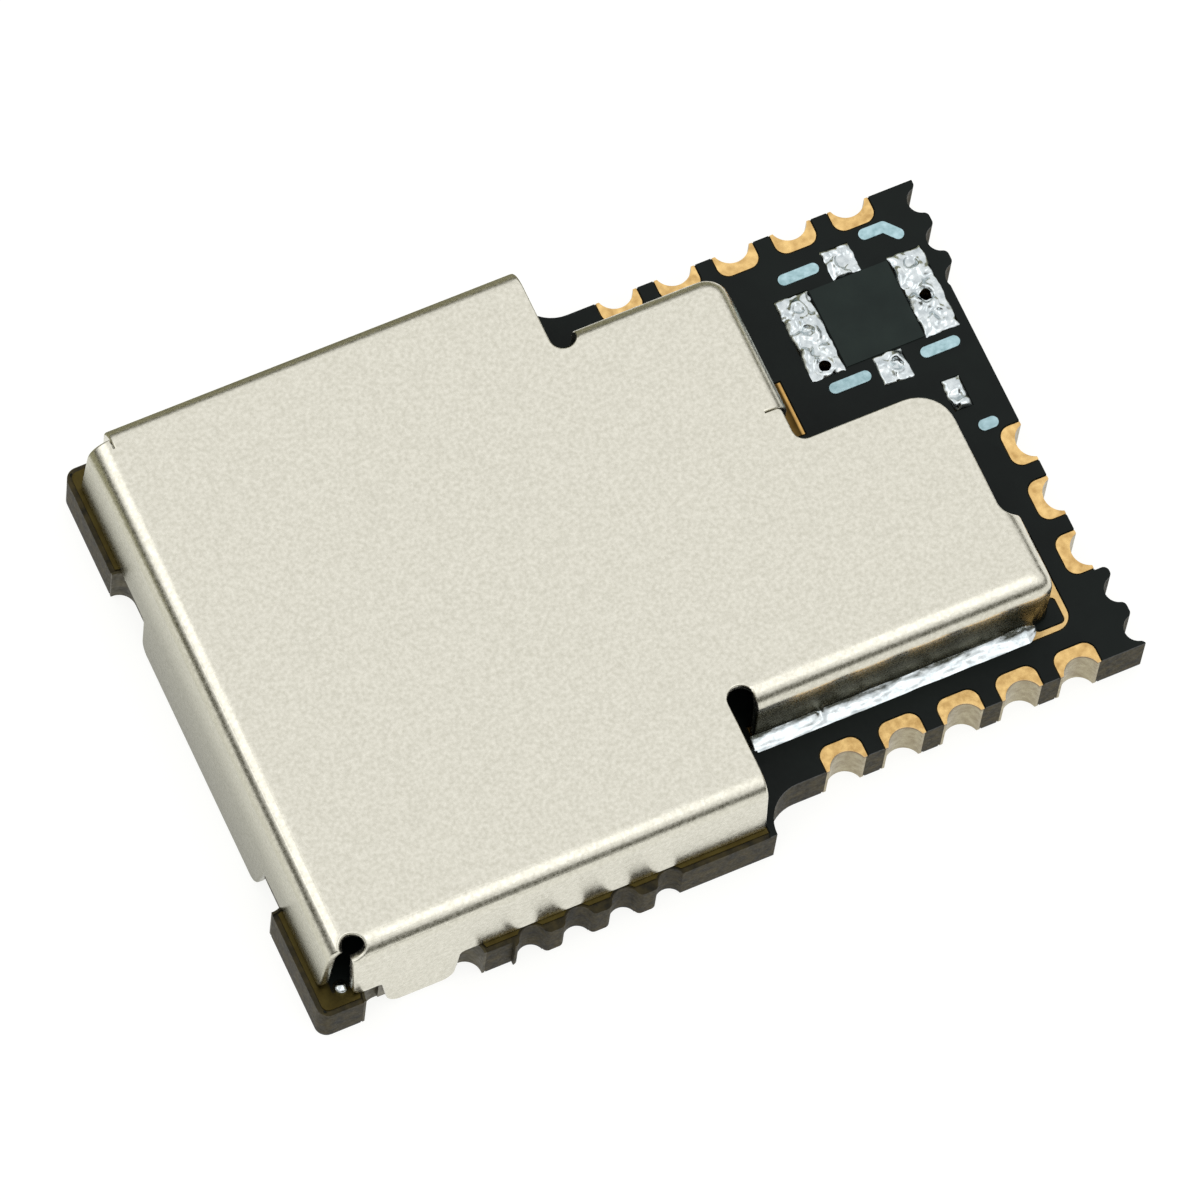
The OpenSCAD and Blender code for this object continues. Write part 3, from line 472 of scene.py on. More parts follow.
class SubAssembly:
    """Piece of the scene that stands for CAD nodes; its mesh is built in millimetres."""

    finish: Finishes
    material_slot: str
    nodes: tuple[str, ...]

    def build(self) -> bpy.types.Object:
        """Makes the piece.

        Returns:
            The object, in millimetres.
        """
        raise NotImplementedError

    def dress(self, piece: bpy.types.Object) -> bpy.types.Object:
        """Scales a piece to metres, gives it its finish and ties it to the frame.

        Args:
            piece: object whose mesh is in millimetres.

        Returns:
            The same object.
        """
        piece.data.transform(Matrix.Scale(MM, 4))
        piece.data.materials.clear()
        piece.data.materials.append(self.finish.value.material())
        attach(piece, "root")
        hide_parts(*self.nodes)
        self.paint_dark_reflection(piece)
        LOG.info("built %s with %d faces", piece.name, len(piece.data.polygons))
        return piece

    def paint_dark_reflection(self, piece: bpy.types.Object) -> None:
        """Gives places with a painted dark reflection a finish of their own; a plain piece has none."""


class Side(Enum):
    """Side that a folded wall faces, as its outward direction in plan."""

    LEFT = (-1, 0)
    RIGHT = (1, 0)
    NEAR = (0, -1)
    FAR = (0, 1)


@dataclass(frozen=True)
class Fold:
    """One fold of the sheet.

    Attributes:
        side: side that the wall faces.
        line: distance of the fold line from the origin towards that side.
        ends: where the wall starts and ends along the fold line.
        score: distance from the score mark on the sheet to the fold line.
        lean: how far the wall falls short of upright, in degrees.
        square: squareness of the drawn corner with another fold, two for a ball.
    """

    side: Side
    line: float
    ends: tuple[float, float]
    score: float = 0.0
    lean: float = 0.0
    square: float = 2.0

    @property
    def out(self) -> Vector:
        """Outward direction of the wall."""
        return Vector((*self.side.value, 0))

    def past(self, at: Vector) -> float:
        """Distance of a point of the flat sheet past the fold line.

        Args:
            at: the point.

        Returns:
            The distance, below zero before the line, and minus infinity beside the wall.
        """
        along = at.y if self.side.value[0] else at.x
        beside = along < self.ends[0] - TINY or along > self.ends[1] + TINY
        return -math.inf if beside else at.dot(self.out) - self.line


@dataclass
class ShieldCan(SubAssembly):
    """Shield can, cut as a flat blank and folded; sizes in millimetres, angles in degrees."""

    board: Board
    sheet: float = 0.2
    height: float = 1.8
    bend: float = 0.52
    margin: float = 0.1
    step_margin: float = 0.15
    near_shelf: float = 1.16
    far_shelf: float = 0.9
    right_shelf: float = 1.24
    bay_len: float = 4.49
    bay_w: float = 4.93
    right_wall_len: float = 1.78
    right_lip: float = 0.14
    bay_corner: float = 0.8
    lip_corner: float = 0.3
    cap: float = 0.6
    bay_relief_r: float = 0.25
    bay_relief_l: float = 0.75
    bay_slit: float = 0.08
    relief_w: float = 0.55
    relief_over: float = 0.04
    far_relief_over: float = -0.1
    keyhole: float = 0.28
    keyhole_inset: Point = (0.69, 0.42)
    near_start: float = 0.64
    left_over: float = 0.05
    left_over_far: float = 0.2
    wide_lean: float = 5.0
    narrow_lean: float = 2.2
    narrow_in: float = 0.02
    left_tab: float = 5.5
    side_tab: float = 1.7
    side_tab_x: float = 2.2
    tab_foot: float = 0.15
    tab_taper: float = 0.16
    tab_corner: float = 0.3
    left_tab_on: float = 0.3
    bend_steps: int = 16
    far_past: float = 0.032
    tear: float = 0.02
    wall_corner: float = 0.24
    far_left_corner: float = 0.12
    foot_corner: float = 0.1
    corner_gap: float = 0.05
    squareness: float = 4.0
    edge_round: float = 0.05
    score_w: float = 0.05
    score_depth: float = 0.012
    right_score: float = 0.16
    below_solid: float = 5e-4
    crisp: float = 50.0
    flat_within: float = 1.0
    finish = Finishes.NICKEL_SILVER
    material_slot = "nickel_silver"
    nodes = ("shield_can",)

    def __post_init__(self) -> None:
        """Works out the can's levels and fold lines."""
        b, r = self.board, self.bend
        self.top = b.thickness + self.height - self.below_solid
        self.left = -self.fold_line(-b.left - self.margin, self.wide_lean, self.tab_foot)
        self.step = b.step - self.step_margin
        self.wide = b.wide_w / 2 - self.margin - r
        self.wide_near = self.fold_line(b.wide_w / 2 - self.margin, self.wide_lean, self.tab_foot)
        self.near_face = self.near_shelf - b.far
        self.near = -self.fold_line(-self.near_face - self.narrow_in, self.narrow_lean, b.land_top)
        self.far = b.far - self.far_shelf - r
        self.right = b.right - self.right_shelf - r
        self.bay = b.right - self.bay_len - r
        self.bay_y = b.far - self.bay_w
        self.bay_wall = self.bay_y + self.bay_relief_l + self.bay_slit
        self.right_end = self.near_face + self.right_wall_len
        self.relief_end = self.step + self.relief_w
        self.relief_near = self.near_face + r + self.relief_over
        self.near_x = b.left + self.margin + self.near_start
        self.far_x = self.left - self.far_past
        self.left_y = self.wide + self.left_over
        self.left_y_far = self.wide + self.left_over_far
        self.tab_x = b.left + self.side_tab_x

    @staticmethod
    def turn(lean: float) -> float:
        """Angle that a fold turns through.

        Args:
            lean: how far the wall falls short of upright, in degrees.

        Returns:
            The angle in radians.
        """
        return math.radians(90 - lean)

    def fold_line(self, face: float, lean: float, level: float) -> float:
        """Place of the fold line of a wall that reaches a given face.

        Args:
            face: distance of the wall's outer face from the origin.
            lean: how far the wall falls short of upright, in degrees.
            level: height at which the wall reaches that face.

        Returns:
            Distance of the fold line from the origin.
        """
        turn = self.turn(lean)
        drop = self.top - self.bend * (1 - math.cos(turn)) - level
        return face - self.bend * math.sin(turn) - drop / math.tan(turn)

    def build(self) -> bpy.types.Object:
        """Folds the sheet and shades it.

        Returns:
            The can in millimetres.
        """
        piece = new_object("shield_can_sheet", self.folded_sheet())
        smooth_by_angle(piece.data, self.crisp)
        even = piece.modifiers.new("even", "WEIGHTED_NORMAL")
        even.keep_sharp = True
        return piece

    def paint_dark_reflection(self, piece: bpy.types.Object) -> None:
        """Paints a dark reflection of the black mask onto the narrow half's near wall, below its fold.

        Args:
            piece: the can, in metres.
        """
        piece.data.materials.append(Finishes.DARK_REFLECTION_SILVER.value.material())
        level = self.top - self.bend
        # Faces of the near wall below the fold take the painted dark reflection as their second finish
        for face in piece.data.polygons:
            x, y, z = face.center / MM
            face.material_index = int(x > self.step and y < self.near and z < level)

    def folds(self) -> list[Fold]:
        """Folds of the can.

        Returns:
            One fold for each wall.
        """
        full = self.run_to(0.0)
        return [
            Fold(Side.LEFT, -self.left, (-self.left_y, self.left_y_far), lean=self.wide_lean),
            Fold(Side.NEAR, self.wide_near, (self.near_x, self.step), lean=self.wide_lean),
            Fold(Side.FAR, self.wide, (self.far_x, self.step)),
            Fold(
                Side.NEAR, -self.near, (self.relief_end, self.right + full), lean=self.narrow_lean,
                square=self.squareness,
            ),
            Fold(
                Side.RIGHT, self.right, (self.near - full, self.bay_y), self.right_score,
                square=self.squareness,
            ),
            Fold(Side.RIGHT, self.bay, (self.bay_wall, self.far + self.cap)),
            Fold(Side.FAR, self.far, (self.relief_end, self.bay + self.cap)),
        ]

    def run_to(self, level: float, lean: float = 0.0) -> float:
        """Length of flat sheet from a fold line to a height on the wall.

        Args:
            level: the height.
            lean: how far the wall falls short of upright, in degrees.

        Returns:
            The length along the outside of the sheet.
        """
        turn = self.turn(lean)
        return self.bend * turn + (self.top - self.bend * (1 - math.cos(turn)) - level) / math.sin(turn)

    def blank(self) -> list[Point]:
        """Outline of the flat blank, with its notches, tabs and the keyhole.

        Returns:
            The outline's points, counter-clockwise from above.
        """
        outer = (self.board.left + self.margin, self.margin - self.board.wide_w / 2)
        middle = (outer[0] + self.keyhole_inset[0], outer[1] + self.keyhole_inset[1])
        to_left = math.degrees(math.asin((self.left_y + middle[1]) / self.keyhole))
        to_near = math.degrees(math.asin((middle[0] - self.near_x) / self.keyhole))
        keyhole = arc(middle, self.keyhole, 180 + to_left, -90 - to_near, 44)
        corners = [*self.near_corners(), *self.bay_corners(), *self.far_corners(), *self.left_corners()]
        return [*keyhole, *rounded(corners, keyhole[-1], keyhole[0])]

    def tabbed_foot(self, mid: float, half: float, lean: float = 0.0) -> list[Corner]:
        """Corners of a tab below a wall's foot.

        Args:
            mid: middle of the tab along the wall.
            half: half of the tab's width, negative to walk the other way.
            lean: how far the wall falls short of upright, in degrees.

        Returns:
            Place along the wall, length past the fold line and radius of each corner.
        """
        foot, end = self.run_to(self.board.land_top, lean), self.run_to(self.tab_foot, lean)
        tip = half - math.copysign(self.tab_taper, half)
        r, big = self.foot_corner, self.tab_corner
        return [(mid - half, foot, r), (mid - tip, end, big), (mid + tip, end, big), (mid + half, foot, r)]

    def near_corners(self) -> list[Corner]:
        """Corners of the blank along the near side.

        Returns:
            Corners from the keyhole to the near right corner, which is drawn round.
        """
        level, half, r, edge = self.board.land_top, self.relief_w / 2, self.foot_corner, self.wide_near
        wide_foot = edge + self.run_to(level, self.wide_lean)
        foot = self.near - self.run_to(level, self.narrow_lean)
        tab = self.tabbed_foot(self.tab_x, self.side_tab / 2, self.wide_lean)
        drawn = arc((self.right, self.near), self.run_to(level + self.corner_gap), -90, 0)
        return [
            (self.near_x, -wide_foot, self.wall_corner),
            *[(x, -edge - run, radius) for x, run, radius in tab],
            (self.step, -wide_foot, r), (self.step, self.relief_near, half),
            (self.relief_end, self.relief_near, half), (self.relief_end, foot, r),
            (self.right, foot, 0.0), *[(x, y, 0.0) for x, y in drawn],
        ]

    def bay_corners(self) -> list[Corner]:
        """Corners of the blank from the right wall round the bay to the drawn cap between its two folds.

        Returns:
            Corners from the right wall's foot to the start of the far wall.
        """
        foot, r = self.run_to(self.board.land_top), self.foot_corner
        lip = self.right + self.right_lip
        bay_cut = self.bay + self.bend - self.sheet
        cap = arc((self.bay, self.far), self.cap, 0, 90)
        return [
            (self.right + foot, self.near, 0.0), (self.right + foot, self.right_end, r),
            (lip, self.right_end, self.lip_corner), (lip, self.bay_y, self.bay_corner),
            (bay_cut, self.bay_y, self.bay_relief_r), (bay_cut, self.bay_wall - self.tear, r),
            (self.bay, self.bay_wall - self.tear, 0.0), (self.bay, self.bay_wall, 0.0),
            (self.bay + foot, self.bay_wall, r), (self.bay + foot, self.far, r),
            *[(x, y, 0.0) for x, y in cap],
        ]

    def far_corners(self) -> list[Corner]:
        """Corners of the blank along the far side.

        Returns:
            Corners from the drawn cap to the far left corner.
        """
        foot, half, r = self.run_to(self.board.land_top), self.relief_w / 2, self.foot_corner
        relief = self.far - self.far_relief_over
        tab = self.tabbed_foot(self.tab_x, -self.side_tab / 2)
        return [
            (self.bay, self.far + foot, r), (self.relief_end, self.far + foot, r),
            (self.relief_end, relief, half), (self.step, relief, half),
            (self.step, self.wide + foot, r), *[(x, self.wide + run, radius) for x, run, radius in tab],
            (self.far_x, self.wide + foot, self.wall_corner), (self.far_x, self.wide, 0.0),
        ]

    def left_corners(self) -> list[Corner]:
        """Corners of the blank along the left side.

        Returns:
            Corners from the far left corner to the keyhole.
        """
        foot = self.run_to(self.board.land_top, self.wide_lean)
        tab = self.tabbed_foot(-self.left_tab_on / 2, -(self.left_tab + self.left_tab_on) / 2, self.wide_lean)
        slit = self.far_x - self.tear
        return [
            (slit, self.wide, 0.0), (slit, self.left_y_far, 0.0),
            (self.left - foot, self.left_y_far, self.far_left_corner),
            *[(self.left - run, y, radius) for y, run, radius in tab],
            (self.left - foot, -self.left_y, self.wall_corner),
        ]

    def folded_sheet(self) -> bmesh.types.BMesh:
        """Blank with its thickness and rounded rims, creased and folded into shape.

        Returns:
            The can as a closed sheet.
        """
        bm = bmesh.new()
        flat = bm.faces.new([bm.verts.new((x, y, self.top)) for x, y in self.blank()])
        flat.normal_update()
        under = bmesh.ops.extrude_face_region(bm, geom=[flat])["geom"]
        lower = [v for v in under if isinstance(v, bmesh.types.BMVert)]
        bmesh.ops.translate(bm, verts=lower, vec=(0, 0, -self.sheet))
        bmesh.ops.recalc_face_normals(bm, faces=bm.faces)
        rims = [e for e in bm.edges if abs(e.verts[0].co.z - e.verts[1].co.z) < TINY]
        bmesh.ops.bevel(
            bm, geom=rims, offset=self.edge_round, offset_type="OFFSET", affect="EDGES", segments=3,
            profile=0.5, material=-1, clamp_overlap=False, loop_slide=False,
        )
        bm.normal_update()
        bmesh.ops.triangulate(bm, faces=[f for f in bm.faces if len(f.verts) > 4])
        folds = self.folds()
        for fold in folds:
            curve = self.bend * self.turn(fold.lean)
            runs = [curve * i / self.bend_steps for i in range(self.bend_steps + 1)]
            runs += [-fold.score + i * self.score_w for i in ((-1, 0, 1) if fold.score else (-1,))]
            for run in runs:
                self.crease(bm, fold, run)
        for vert in bm.verts:
            vert.co = self.bent(vert.co, folds)
        bm.normal_update()
        flat_within = math.radians(self.flat_within)
        bmesh.ops.dissolve_limit(bm, angle_limit=flat_within, verts=bm.verts, edges=bm.edges)
        bmesh.ops.remove_doubles(bm, verts=bm.verts, dist=TINY)
        bmesh.ops.recalc_face_normals(bm, faces=bm.faces)
        return bm

    def bent(self, at: Vector, folds: Sequence[Fold]) -> Vector:
        """Place of a point of the flat sheet after folding; past two fold lines it lies on the drawn corner.

        Args:
            at: the point.
            folds: the can's folds.

        Returns:
            The folded point.
        """
        depth = self.top - at.z
        pasts = [(f, f.past(at)) for f in folds if f.past(at) > TINY]
        away = sum((f.out * past for f, past in pasts), Vector((0, 0, 0)))
        run = away.length
        if run < TINY:
            scored = depth < TINY and any(f.score and abs(f.past(at) + f.score) < TINY for f in folds)
            return at - Vector((0, 0, self.score_depth if scored else 0.0))
        full = self.turn(sum(f.lean * past ** 2 for f, past in pasts) / run ** 2)
        turn = min(run / self.bend, full)
        radius, rest = self.bend - depth, max(run - self.bend * full, 0.0)
        power = max(f.square for f, _ in pasts)
        square = sum((past / run) ** power for _, past in pasts) ** (-1 / power)
        reach = square * radius * math.sin(turn) + rest * math.cos(turn)
        drop = radius * (1 - math.cos(turn)) + rest * math.sin(turn)
        return at + away * (reach / run - 1) - Vector((0, 0, drop))

    @staticmethod
    def crease(bm: bmesh.types.BMesh, fold: Fold, run: float) -> None:
        """Cuts the sheet's faces along a line beside a fold line.

        Args:
            bm: the flat sheet.
            fold: the fold.
            run: distance of the cut past the fold line.
        """
        faces = [f for f in bm.faces if any(fold.past(v.co) > run for v in f.verts)]
        edges = {e for f in faces for e in f.edges}
        verts = {v for f in faces for v in f.verts}
        bmesh.ops.bisect_plane(
            bm, geom=[*verts, *edges, *faces], dist=TINY / 10, plane_co=fold.out * (fold.line + run),
            plane_no=fold.out,
        )


@dataclass(frozen=True)
class Puddle:
    """One pool of solder on a land.

    Attributes:
        middle: middle of the pool.
        size: width and length.
        rings: x, y and radius of each ring that a burst bubble left, from the middle.
        via: middle of the open via, from the pool's middle.
        steep: power that keeps the pool and a ring's dip flat in the middle.
        soft: power that rounds the pool's edge.
        fill: usual height as a share of the crest, as all heights here are.
        swing: how far the lumps rise and sink.
        least: lowest height.
        lump: width of the lumps.
        lump_sizes: how many sizes of lumps lie over each other.
        ring_w: half width of a ring's rim, with its rise ring_lift and the dip inside it ring_sink.
    """

    middle: Point
    size: Point
    rings: tuple[Corner, ...] = ()
    via: Optional[Point] = None
    steep: int = 4
    soft: float = 0.45
    fill: float = 0.72
    swing: float = 0.85
    least: float = 0.12
    lump: float = 0.26
    lump_sizes: int = 2
    ring_w: float = 0.04
    ring_lift: float = 0.3
    ring_sink: float = 0.5

    def height(self, across: float, along: float, crest: float) -> float:
        """Height of the pool's surface.

        Args:
            across: place across the pool, from -1 to 1.
            along: place along the pool, from -1 to 1.
            crest: usual height at the middle.

        Returns:
            The height above the land.
        """
        x, y = across * self.size[0] / 2, along * self.size[1] / 2
        fade_x, fade_y = (max(1 - place ** self.steep, 0.0) for place in (across, along))
        rise = self.fill + self.swing * self.lumps(x + self.middle[0], y + self.middle[1])
        for ring_x, ring_y, radius in self.rings:
            off = math.hypot(x - ring_x, y - ring_y)
            rise += self.ring_lift * math.exp(-(((off - radius) / self.ring_w) ** 2))
            rise -= self.ring_sink * math.exp(-((off / radius) ** self.steep))
        return crest * (fade_x * fade_y) ** self.soft * max(rise, self.least)

    def lumps(self, x: float, y: float) -> float:
        """Height variation of the pool's lumps at a place, from about -1 to 1."""
        return unevenness(x, y, self.lump, self.lump_sizes)


@dataclass
class ReflowedSolder(SubAssembly):
    """Lumpy solder that covers the lands of one node, in millimetres."""

    name: str
    nodes: tuple[str, ...]
    puddles: tuple[Puddle, ...]
    board: Board
    crest: float = 0.12
    cell: float = 0.02
    via_r: float = 0.125
    via_sides: int = 32
    ragged: float = 0.04
    ragged_steps: tuple[Point, Point] = ((7, -5), (14, -10))
    crisp: float = 60.0
    finish = Finishes.SOLDER
    material_slot = "solder"

    def build(self) -> bpy.types.Object:
        """Makes the pools and opens their vias.

        Returns:
            The pools as one object, in millimetres.
        """
        bm = bmesh.new()
        for puddle in self.puddles:
            self.pool(bm, puddle)
        bmesh.ops.recalc_face_normals(bm, faces=bm.faces)
        piece = new_object(self.name, bm)
        for puddle in self.puddles:
            if puddle.via:
                self.open_via(piece, [m + v for m, v in zip(puddle.middle, puddle.via)])
        smooth_by_angle(piece.data, self.crisp)
        return piece

    def pool(self, bm: bmesh.types.BMesh, puddle: Puddle) -> None:
        """Adds one closed pool.

        Args:
            bm: the mesh that takes it.
            puddle: the pool.
        """
        cells = [round(s / self.cell) for s in puddle.size]
        grid = bmesh.ops.create_grid(bm, x_segments=cells[0], y_segments=cells[1], size=1.0)["verts"]
        for vert in grid:
            across, along, _ = vert.co
            x = puddle.middle[0] + across * puddle.size[0] / 2
            y = puddle.middle[1] + along * puddle.size[1] / 2
            pull_x, pull_y = (self.ragged * puddle.lumps(x + dx, y + dy) for dx, dy in self.ragged_steps)
            level = self.board.land_top + puddle.height(across, along, self.crest)
            vert.co = (x + pull_x * across ** 2, y + pull_y * along ** 2, level)
        rim = [e for e in {e for v in grid for e in v.link_edges} if e.is_boundary]
        bmesh.ops.holes_fill(bm, edges=rim, sides=0)

    def open_via(self, piece: bpy.types.Object, middle: Sequence[float]) -> None:
        """Cuts the round hole of a via through a pool.

        Args:
            piece: the pools.
            middle: middle of the via.
        """
        bm = bmesh.new()
        bmesh.ops.create_cone(
            bm, cap_ends=True, segments=self.via_sides, radius1=self.via_r, radius2=self.via_r, depth=1.0,
            matrix=Matrix.Translation((*middle, self.board.land_top)),
        )
        cutter = new_object("via_cutter", bm)
        cut = piece.modifiers.new("via", "BOOLEAN")
        cut.operation = "DIFFERENCE"
        cut.solver = "MANIFOLD"
        cut.object = cutter
        apply_modifiers(piece)
        bpy.data.objects.remove(cutter)


@dataclass
class SeamSolder(SubAssembly):
    """Fillet of solder along the foot of the narrow half's near wall, and the bead in the keyhole corner.

    Attributes:
        skin: least width and height of the solder.
        run_out: lengths over which the fillet runs out at its start and its end.
        hollow: power of the fillet's hollow section.
        blob: place, half width and extra lump height of the thick place near the end.
        blob_climb: share by which the fillet climbs higher there.
        nick: place and half width of the nick in its upper edge, and its depth as a share.
        reach_wave: share and width of the waves along its lower edge.
        climb_wave: share and width of the waves along its upper edge.
        ripple: height and width of the ripples on its face, and how far they shift across it.
        ripple_edge: power that fades the ripples out at the edges.
        tracks: rows of the noise that the lower edge, the upper edge and the face read.
        bead_ripple: height and width of the bead's lumps.
    """

    board: Board
    wall_y: float = -4.25
    start: float = 0.9
    end: float = 7.2
    reach: float = 0.29
    climb: float = 0.17
    skin: float = 0.01
    run_out: Point = (0.1, 0.25)
    hollow: float = 2.4
    blob: Corner = (6.75, 0.4, 0.03)
    blob_climb: float = 0.5
    nick: Corner = (2.5, 0.07, 0.6)
    reach_wave: Point = (0.07, 0.7)
    climb_wave: Point = (0.35, 1.1)
    ripple: Corner = (0.026, 0.4, 0.9)
    ripple_edge: float = 0.8
    tracks: Corner = (0.0, 3.0, 6.0)
    cells: int = 300
    rows: int = 12
    bead: Corner = (-8.45, -5.81, 0.14)
    bead_ripple: Point = (0.03, 0.1)
    bead_sides: tuple[int, int] = (32, 20)
    crisp: float = 60.0
    finish = Finishes.SOLDER
    material_slot = "solder"
    nodes = ("shield_seam_solder",)

    def build(self) -> bpy.types.Object:
        """Runs the fillet's outline along the wall and adds the bead.

        Returns:
            The solder in millimetres.
        """
        bm = bmesh.new()
        strip = bmesh.ops.create_grid(bm, x_segments=self.cells, y_segments=self.rows + 2, size=1.0)["verts"]
        for vert in strip:
            share = (vert.co.x + 1) / 2
            row = round((vert.co.y + 1) / 2 * (self.rows + 2))
            vert.co = self.outline(self.start + share * (self.end - self.start), row)
        bmesh.ops.remove_doubles(bm, verts=bm.verts, dist=TINY)
        bmesh.ops.holes_fill(bm, edges=[e for e in bm.edges if e.is_boundary], sides=0)
        x, y, radius = self.bead
        floor = self.board.land_top
        ball = bmesh.ops.create_uvsphere(
            bm, u_segments=self.bead_sides[0], v_segments=self.bead_sides[1], radius=radius,
            matrix=Matrix.Translation((x, y, floor)),
        )["verts"]
        height, width = self.bead_ripple
        for vert in ball:
            vert.co.z = max(vert.co.z, floor) + height * unevenness(vert.co.x, vert.co.y, width)
        bmesh.ops.recalc_face_normals(bm, faces=bm.faces)
        piece = new_object("shield_seam_fillet", bm)
        smooth_by_angle(piece.data, self.crisp)
        return piece

    def outline(self, x: float, row: int) -> Vector:
        """Point of the fillet's outline at a place along the wall.

        Args:
            x: place along the wall.
            row: number of the point, from the wall's foot up the wall, down the fillet and back.

        Returns:
            The point.
        """
        floor = self.board.land_top
        if row in (0, self.rows + 2):
            return Vector((x, self.wall_y, floor))
        run_in, run_off = self.run_out
        ends = math.sqrt(max(min((x - self.start) / run_in, (self.end - x) / run_off, 1.0), 0.0))
        blob_x, blob_w, blob_lump = self.blob
        blob = max(0.0, 1 - abs(x - blob_x) / blob_w)
        nick_x, nick_w, nick_depth = self.nick
        nick = nick_depth * math.exp(-(((x - nick_x) / nick_w) ** 2))
        low, high, face = self.tracks
        (swing, width), (lift, length) = self.reach_wave, self.climb_wave
        reach = self.reach * ends * (1 + swing * unevenness(x, low, width, 2)) + self.skin
        crest = 1 + lift * unevenness(x, high, length, 2) + self.blob_climb * blob - nick
        climb = self.climb * ends * crest + self.skin
        share = (row - 1) / self.rows
        height, size, shift = self.ripple
        wave = height * (1 + unevenness(x, face + shift * share, size, 2))
        lump = ends * (wave + blob_lump * blob) * math.sin(math.pi * share) ** self.ripple_edge
        return Vector((x, self.wall_y - reach * share, floor + climb * (1 - share) ** self.hollow + lump))


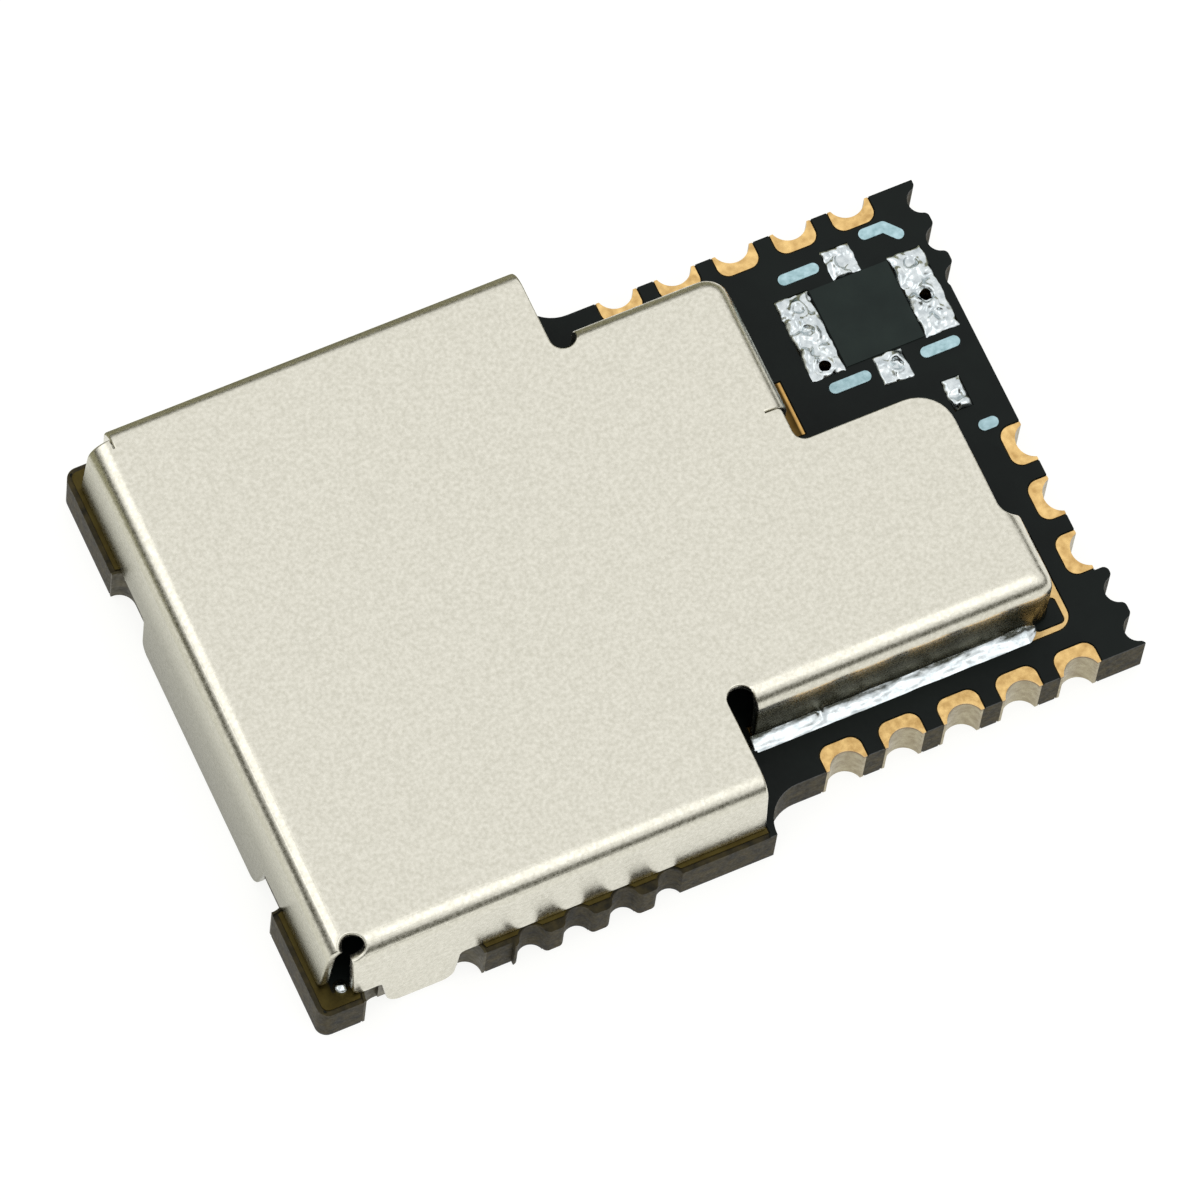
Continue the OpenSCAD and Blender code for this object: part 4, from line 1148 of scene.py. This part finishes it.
@dataclass
class Studio:
    """Camera, light table and light tent; sizes in metres and degrees.

    Attributes:
        eye: place of the camera.
        turn: rotation of the camera.
        lens_mm: focal length.
        sensor_mm: width of the camera's frame.
        clip_from: distance in front of the camera at which its view starts.
        table_w: width of the light table.
        mirror_w: width of its middle, the only part that the metal reflects.
        table_gap: hair's breadth between the table and the module's underside.
        rim: height of the tent's dark rim, as the sine of its elevation.
        rim_soft: half width of the rim's soft edge, on the same measure.
        rim_tilt: how much lower the rim lies to the right and to the far side.
        tent: sRGB hex of the tent at its rim, just above it and overhead.
        tent_gain: brightness of the tent.
        lamps: direction and extra brightness of each softbox behind the tent.
        lamp_edge: angles from a softbox's middle at which it starts to fade and has faded out.
        flag: width, distance behind the module and height of the dark flag.
    """

    eye: tuple[float, float, float] = (-0.04820, -0.07454, 0.20876)
    turn: tuple[float, float, float] = (22.7609, -3.4687, -24.5686)
    lens_mm: float = 345.0
    sensor_mm: float = 36.0
    clip_from: float = 0.01
    table_w: float = 0.9
    mirror_w: float = 0.06
    table_gap: float = 2e-5
    rim: float = 0.29
    rim_soft: float = 0.09
    rim_tilt: Point = (0.085, 0.074)
    tent: tuple[str, str, str] = ("#434234", "#ffffff", "#fbfbfb")
    tent_gain: float = 1.13
    lamps: tuple[tuple[tuple[float, float, float], float], ...] = (
        ((0.21, -0.53, 0.82), 0.75),
        ((-0.60, 0.33, 0.73), 0.7),
    )
    lamp_edge: Point = (10.0, 23.0)
    flag: tuple[float, float, float] = (0.05, 0.0074, 0.0028)

    def build(self) -> None:
        """Makes the camera, the table and the light."""
        self.camera()
        self.table()
        self.dark_flag()
        self.sky()
        view = bpy.context.scene.view_settings
        view.view_transform = "Standard"
        view.look = "None"

    def camera(self) -> None:
        """Sets the camera at the photograph's viewing angle."""
        data = bpy.data.cameras.new("camera")
        data.lens = self.lens_mm
        data.sensor_width = self.sensor_mm
        data.clip_start = self.clip_from
        made = bpy.data.objects.new("camera", data)
        made.location = self.eye
        made.rotation_euler = Euler([math.radians(a) for a in self.turn], "XYZ")
        bpy.context.scene.collection.objects.link(made)
        bpy.context.scene.camera = made

    def table(self) -> None:
        """Lays a plain pale table under the module."""
        middle = bmesh.new()
        bmesh.ops.create_grid(middle, x_segments=1, y_segments=1, size=self.mirror_w / 2)
        around = bmesh.new()
        bmesh.ops.create_grid(around, x_segments=1, y_segments=1, size=self.table_w / 2)
        bmesh.ops.inset_region(
            around, faces=around.faces, thickness=(self.table_w - self.mirror_w) / 2, use_boundary=True,
            use_even_offset=True,
        )
        centre = min(around.faces, key=lambda face: face.calc_center_median().length)
        bmesh.ops.delete(around, geom=[centre], context="FACES_ONLY")
        for name, bm in (("table", middle), ("table_surround", around)):
            bmesh.ops.translate(bm, vec=(0.0, 0.0, -self.table_gap), verts=bm.verts)
            made = new_object(name, bm)
            made.data.materials.append(Finishes.LIGHT_TABLE.value.material())
            made.visible_glossy = name == "table"

    def dark_flag(self) -> None:
        """Stands a low dark flag behind the module, which only the far folds reflect."""
        width, behind, height = self.flag
        bm = bmesh.new()
        bmesh.ops.create_grid(bm, x_segments=1, y_segments=1, size=0.5)
        bmesh.ops.scale(bm, vec=(width, height, 1.0), verts=bm.verts)
        bmesh.ops.rotate(bm, matrix=Matrix.Rotation(math.pi / 2, 3, "X"), verts=bm.verts)
        bmesh.ops.translate(bm, vec=(0.0, behind, height / 2), verts=bm.verts)
        made = new_object("dark_flag", bm)
        made.data.materials.append(Finishes.FELT.value.material())
        made.visible_camera = False
        made.visible_diffuse = False
        made.visible_shadow = False

    def sky(self) -> None:
        """Light tent: bright overhead, with a dark rim that dips at the sides and two softboxes behind it."""
        world = bpy.data.worlds.new("light tent")
        world.use_nodes = True
        tree = world.node_tree
        tree.nodes.clear()
        place = add_node(tree, "TexCoord").outputs["Generated"]
        lift = add_node(
            tree, "VectorMath", {0: place, 1: Vector((*self.rim_tilt, 1.0))}, operation="DOT_PRODUCT"
        ).outputs["Value"]
        dark, pale, overhead = (linear(code) for code in self.tent)
        tone = set_stops(add_node(tree, "ValToRGB", {"Fac": lift}), [
            (0.0, dark), (self.rim - self.rim_soft, dark), (self.rim + self.rim_soft, pale), (1.0, overhead),
        ])
        bright, faded = (math.cos(math.radians(angle)) for angle in self.lamp_edge)
        extra = 0.0
        for towards, gain in self.lamps:
            facing = add_node(
                tree, "VectorMath", {0: place, 1: Vector(towards).normalized()}, operation="DOT_PRODUCT"
            ).outputs["Value"]
            spot = add_node(tree, "MapRange", {
                "Value": facing, "From Min": faded, "From Max": bright, "To Max": gain,
            }, interpolation_type="SMOOTHSTEP").outputs["Result"]
            extra = add_node(tree, "Math", {0: spot, 1: extra}, operation="ADD").outputs[0]
        tent = add_node(tree, "Background", {"Color": tone, "Strength": self.tent_gain}).outputs[0]
        boxes = add_node(tree, "Background", {"Color": linear("#ffffff"), "Strength": extra}).outputs[0]
        light = add_node(tree, "AddShader", {0: tent, 1: boxes}).outputs[0]
        add_node(tree, "OutputWorld", {"Surface": light})
        bpy.context.scene.world = world


@dataclass
class ConnectorSite:
    """Pools of solder on the bare connector site and on the small land beside it, in millimetres.

    Attributes:
        reach: distance from the site's middle to the middle of each land.
        ground: width and length of the ground pools.
        signal: width and length of the signal pools.
        link: width and length of the pool on the small land.
        link_crest: height of that pool.
    """

    board: Board
    reach: float = 1.245
    ground: Point = (0.74, 1.88)
    signal: Point = (0.62, 0.66)
    link: Point = (0.40, 0.70)
    link_crest: float = 0.13
    left_rings: tuple[Corner, ...] = ((0.02, 0.62, 0.13), (0.0, 0.1, 0.14), (0.0, -0.705, 0.2))
    right_rings: tuple[Corner, ...] = ((0.02, 0.65, 0.15), (-0.02, -0.1, 0.2), (0.08, -0.6, 0.15))
    left_via: Point = (0.0, -0.705)
    right_via: Point = (0.0, -0.1)
    far_rings: tuple[Corner, ...] = ((0.0, -0.02, 0.15),)
    near_rings: tuple[Corner, ...] = ((0.08, 0.0, 0.15),)

    def solder(self) -> list[ReflowedSolder]:
        """Gives the site's solder.

        Returns:
            One piece for each node.
        """
        board, reach, site = self.board, self.reach, self.board.site_inset
        ground = (
            Puddle(board.inset(site, shift_x=-reach), self.ground, self.left_rings, self.left_via),
            Puddle(board.inset(site, shift_x=reach), self.ground, self.right_rings, self.right_via),
        )
        signal = (
            Puddle(board.inset(site, shift_y=reach), self.signal, self.far_rings),
            Puddle(board.inset(site, shift_y=-reach), self.signal, self.near_rings),
        )
        link = (Puddle(board.inset(board.link_inset), self.link),)
        return [
            ReflowedSolder("connector_ground_pools", ("connector_ground_solder",), ground, board),
            ReflowedSolder("connector_signal_pools", ("connector_signal_solder",), signal, board),
            ReflowedSolder("antenna_link_pool", ("antenna_link_solder",), link, board, self.link_crest),
        ]


def dress_nodes() -> None:
    """Gives every CAD node its own finish."""
    for finish, names in NODE_FINISHES.items():
        for name in names:
            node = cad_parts[name]
            node.data.materials.clear()
            node.data.materials.append(finish.value.material())
            LOG.info("dressed %s with %s", name, finish.value.name)


def main() -> None:
    """Builds the studio and the module's pieces in order."""
    logging.basicConfig(level=logging.INFO, format="%(name)s: %(message)s")
    Studio().build()
    dress_nodes()
    board = Board()
    for part in (ShieldCan(board), SeamSolder(board), *ConnectorSite(board).solder()):
        part.dress(part.build())


if __name__ == "__main__":
    main()
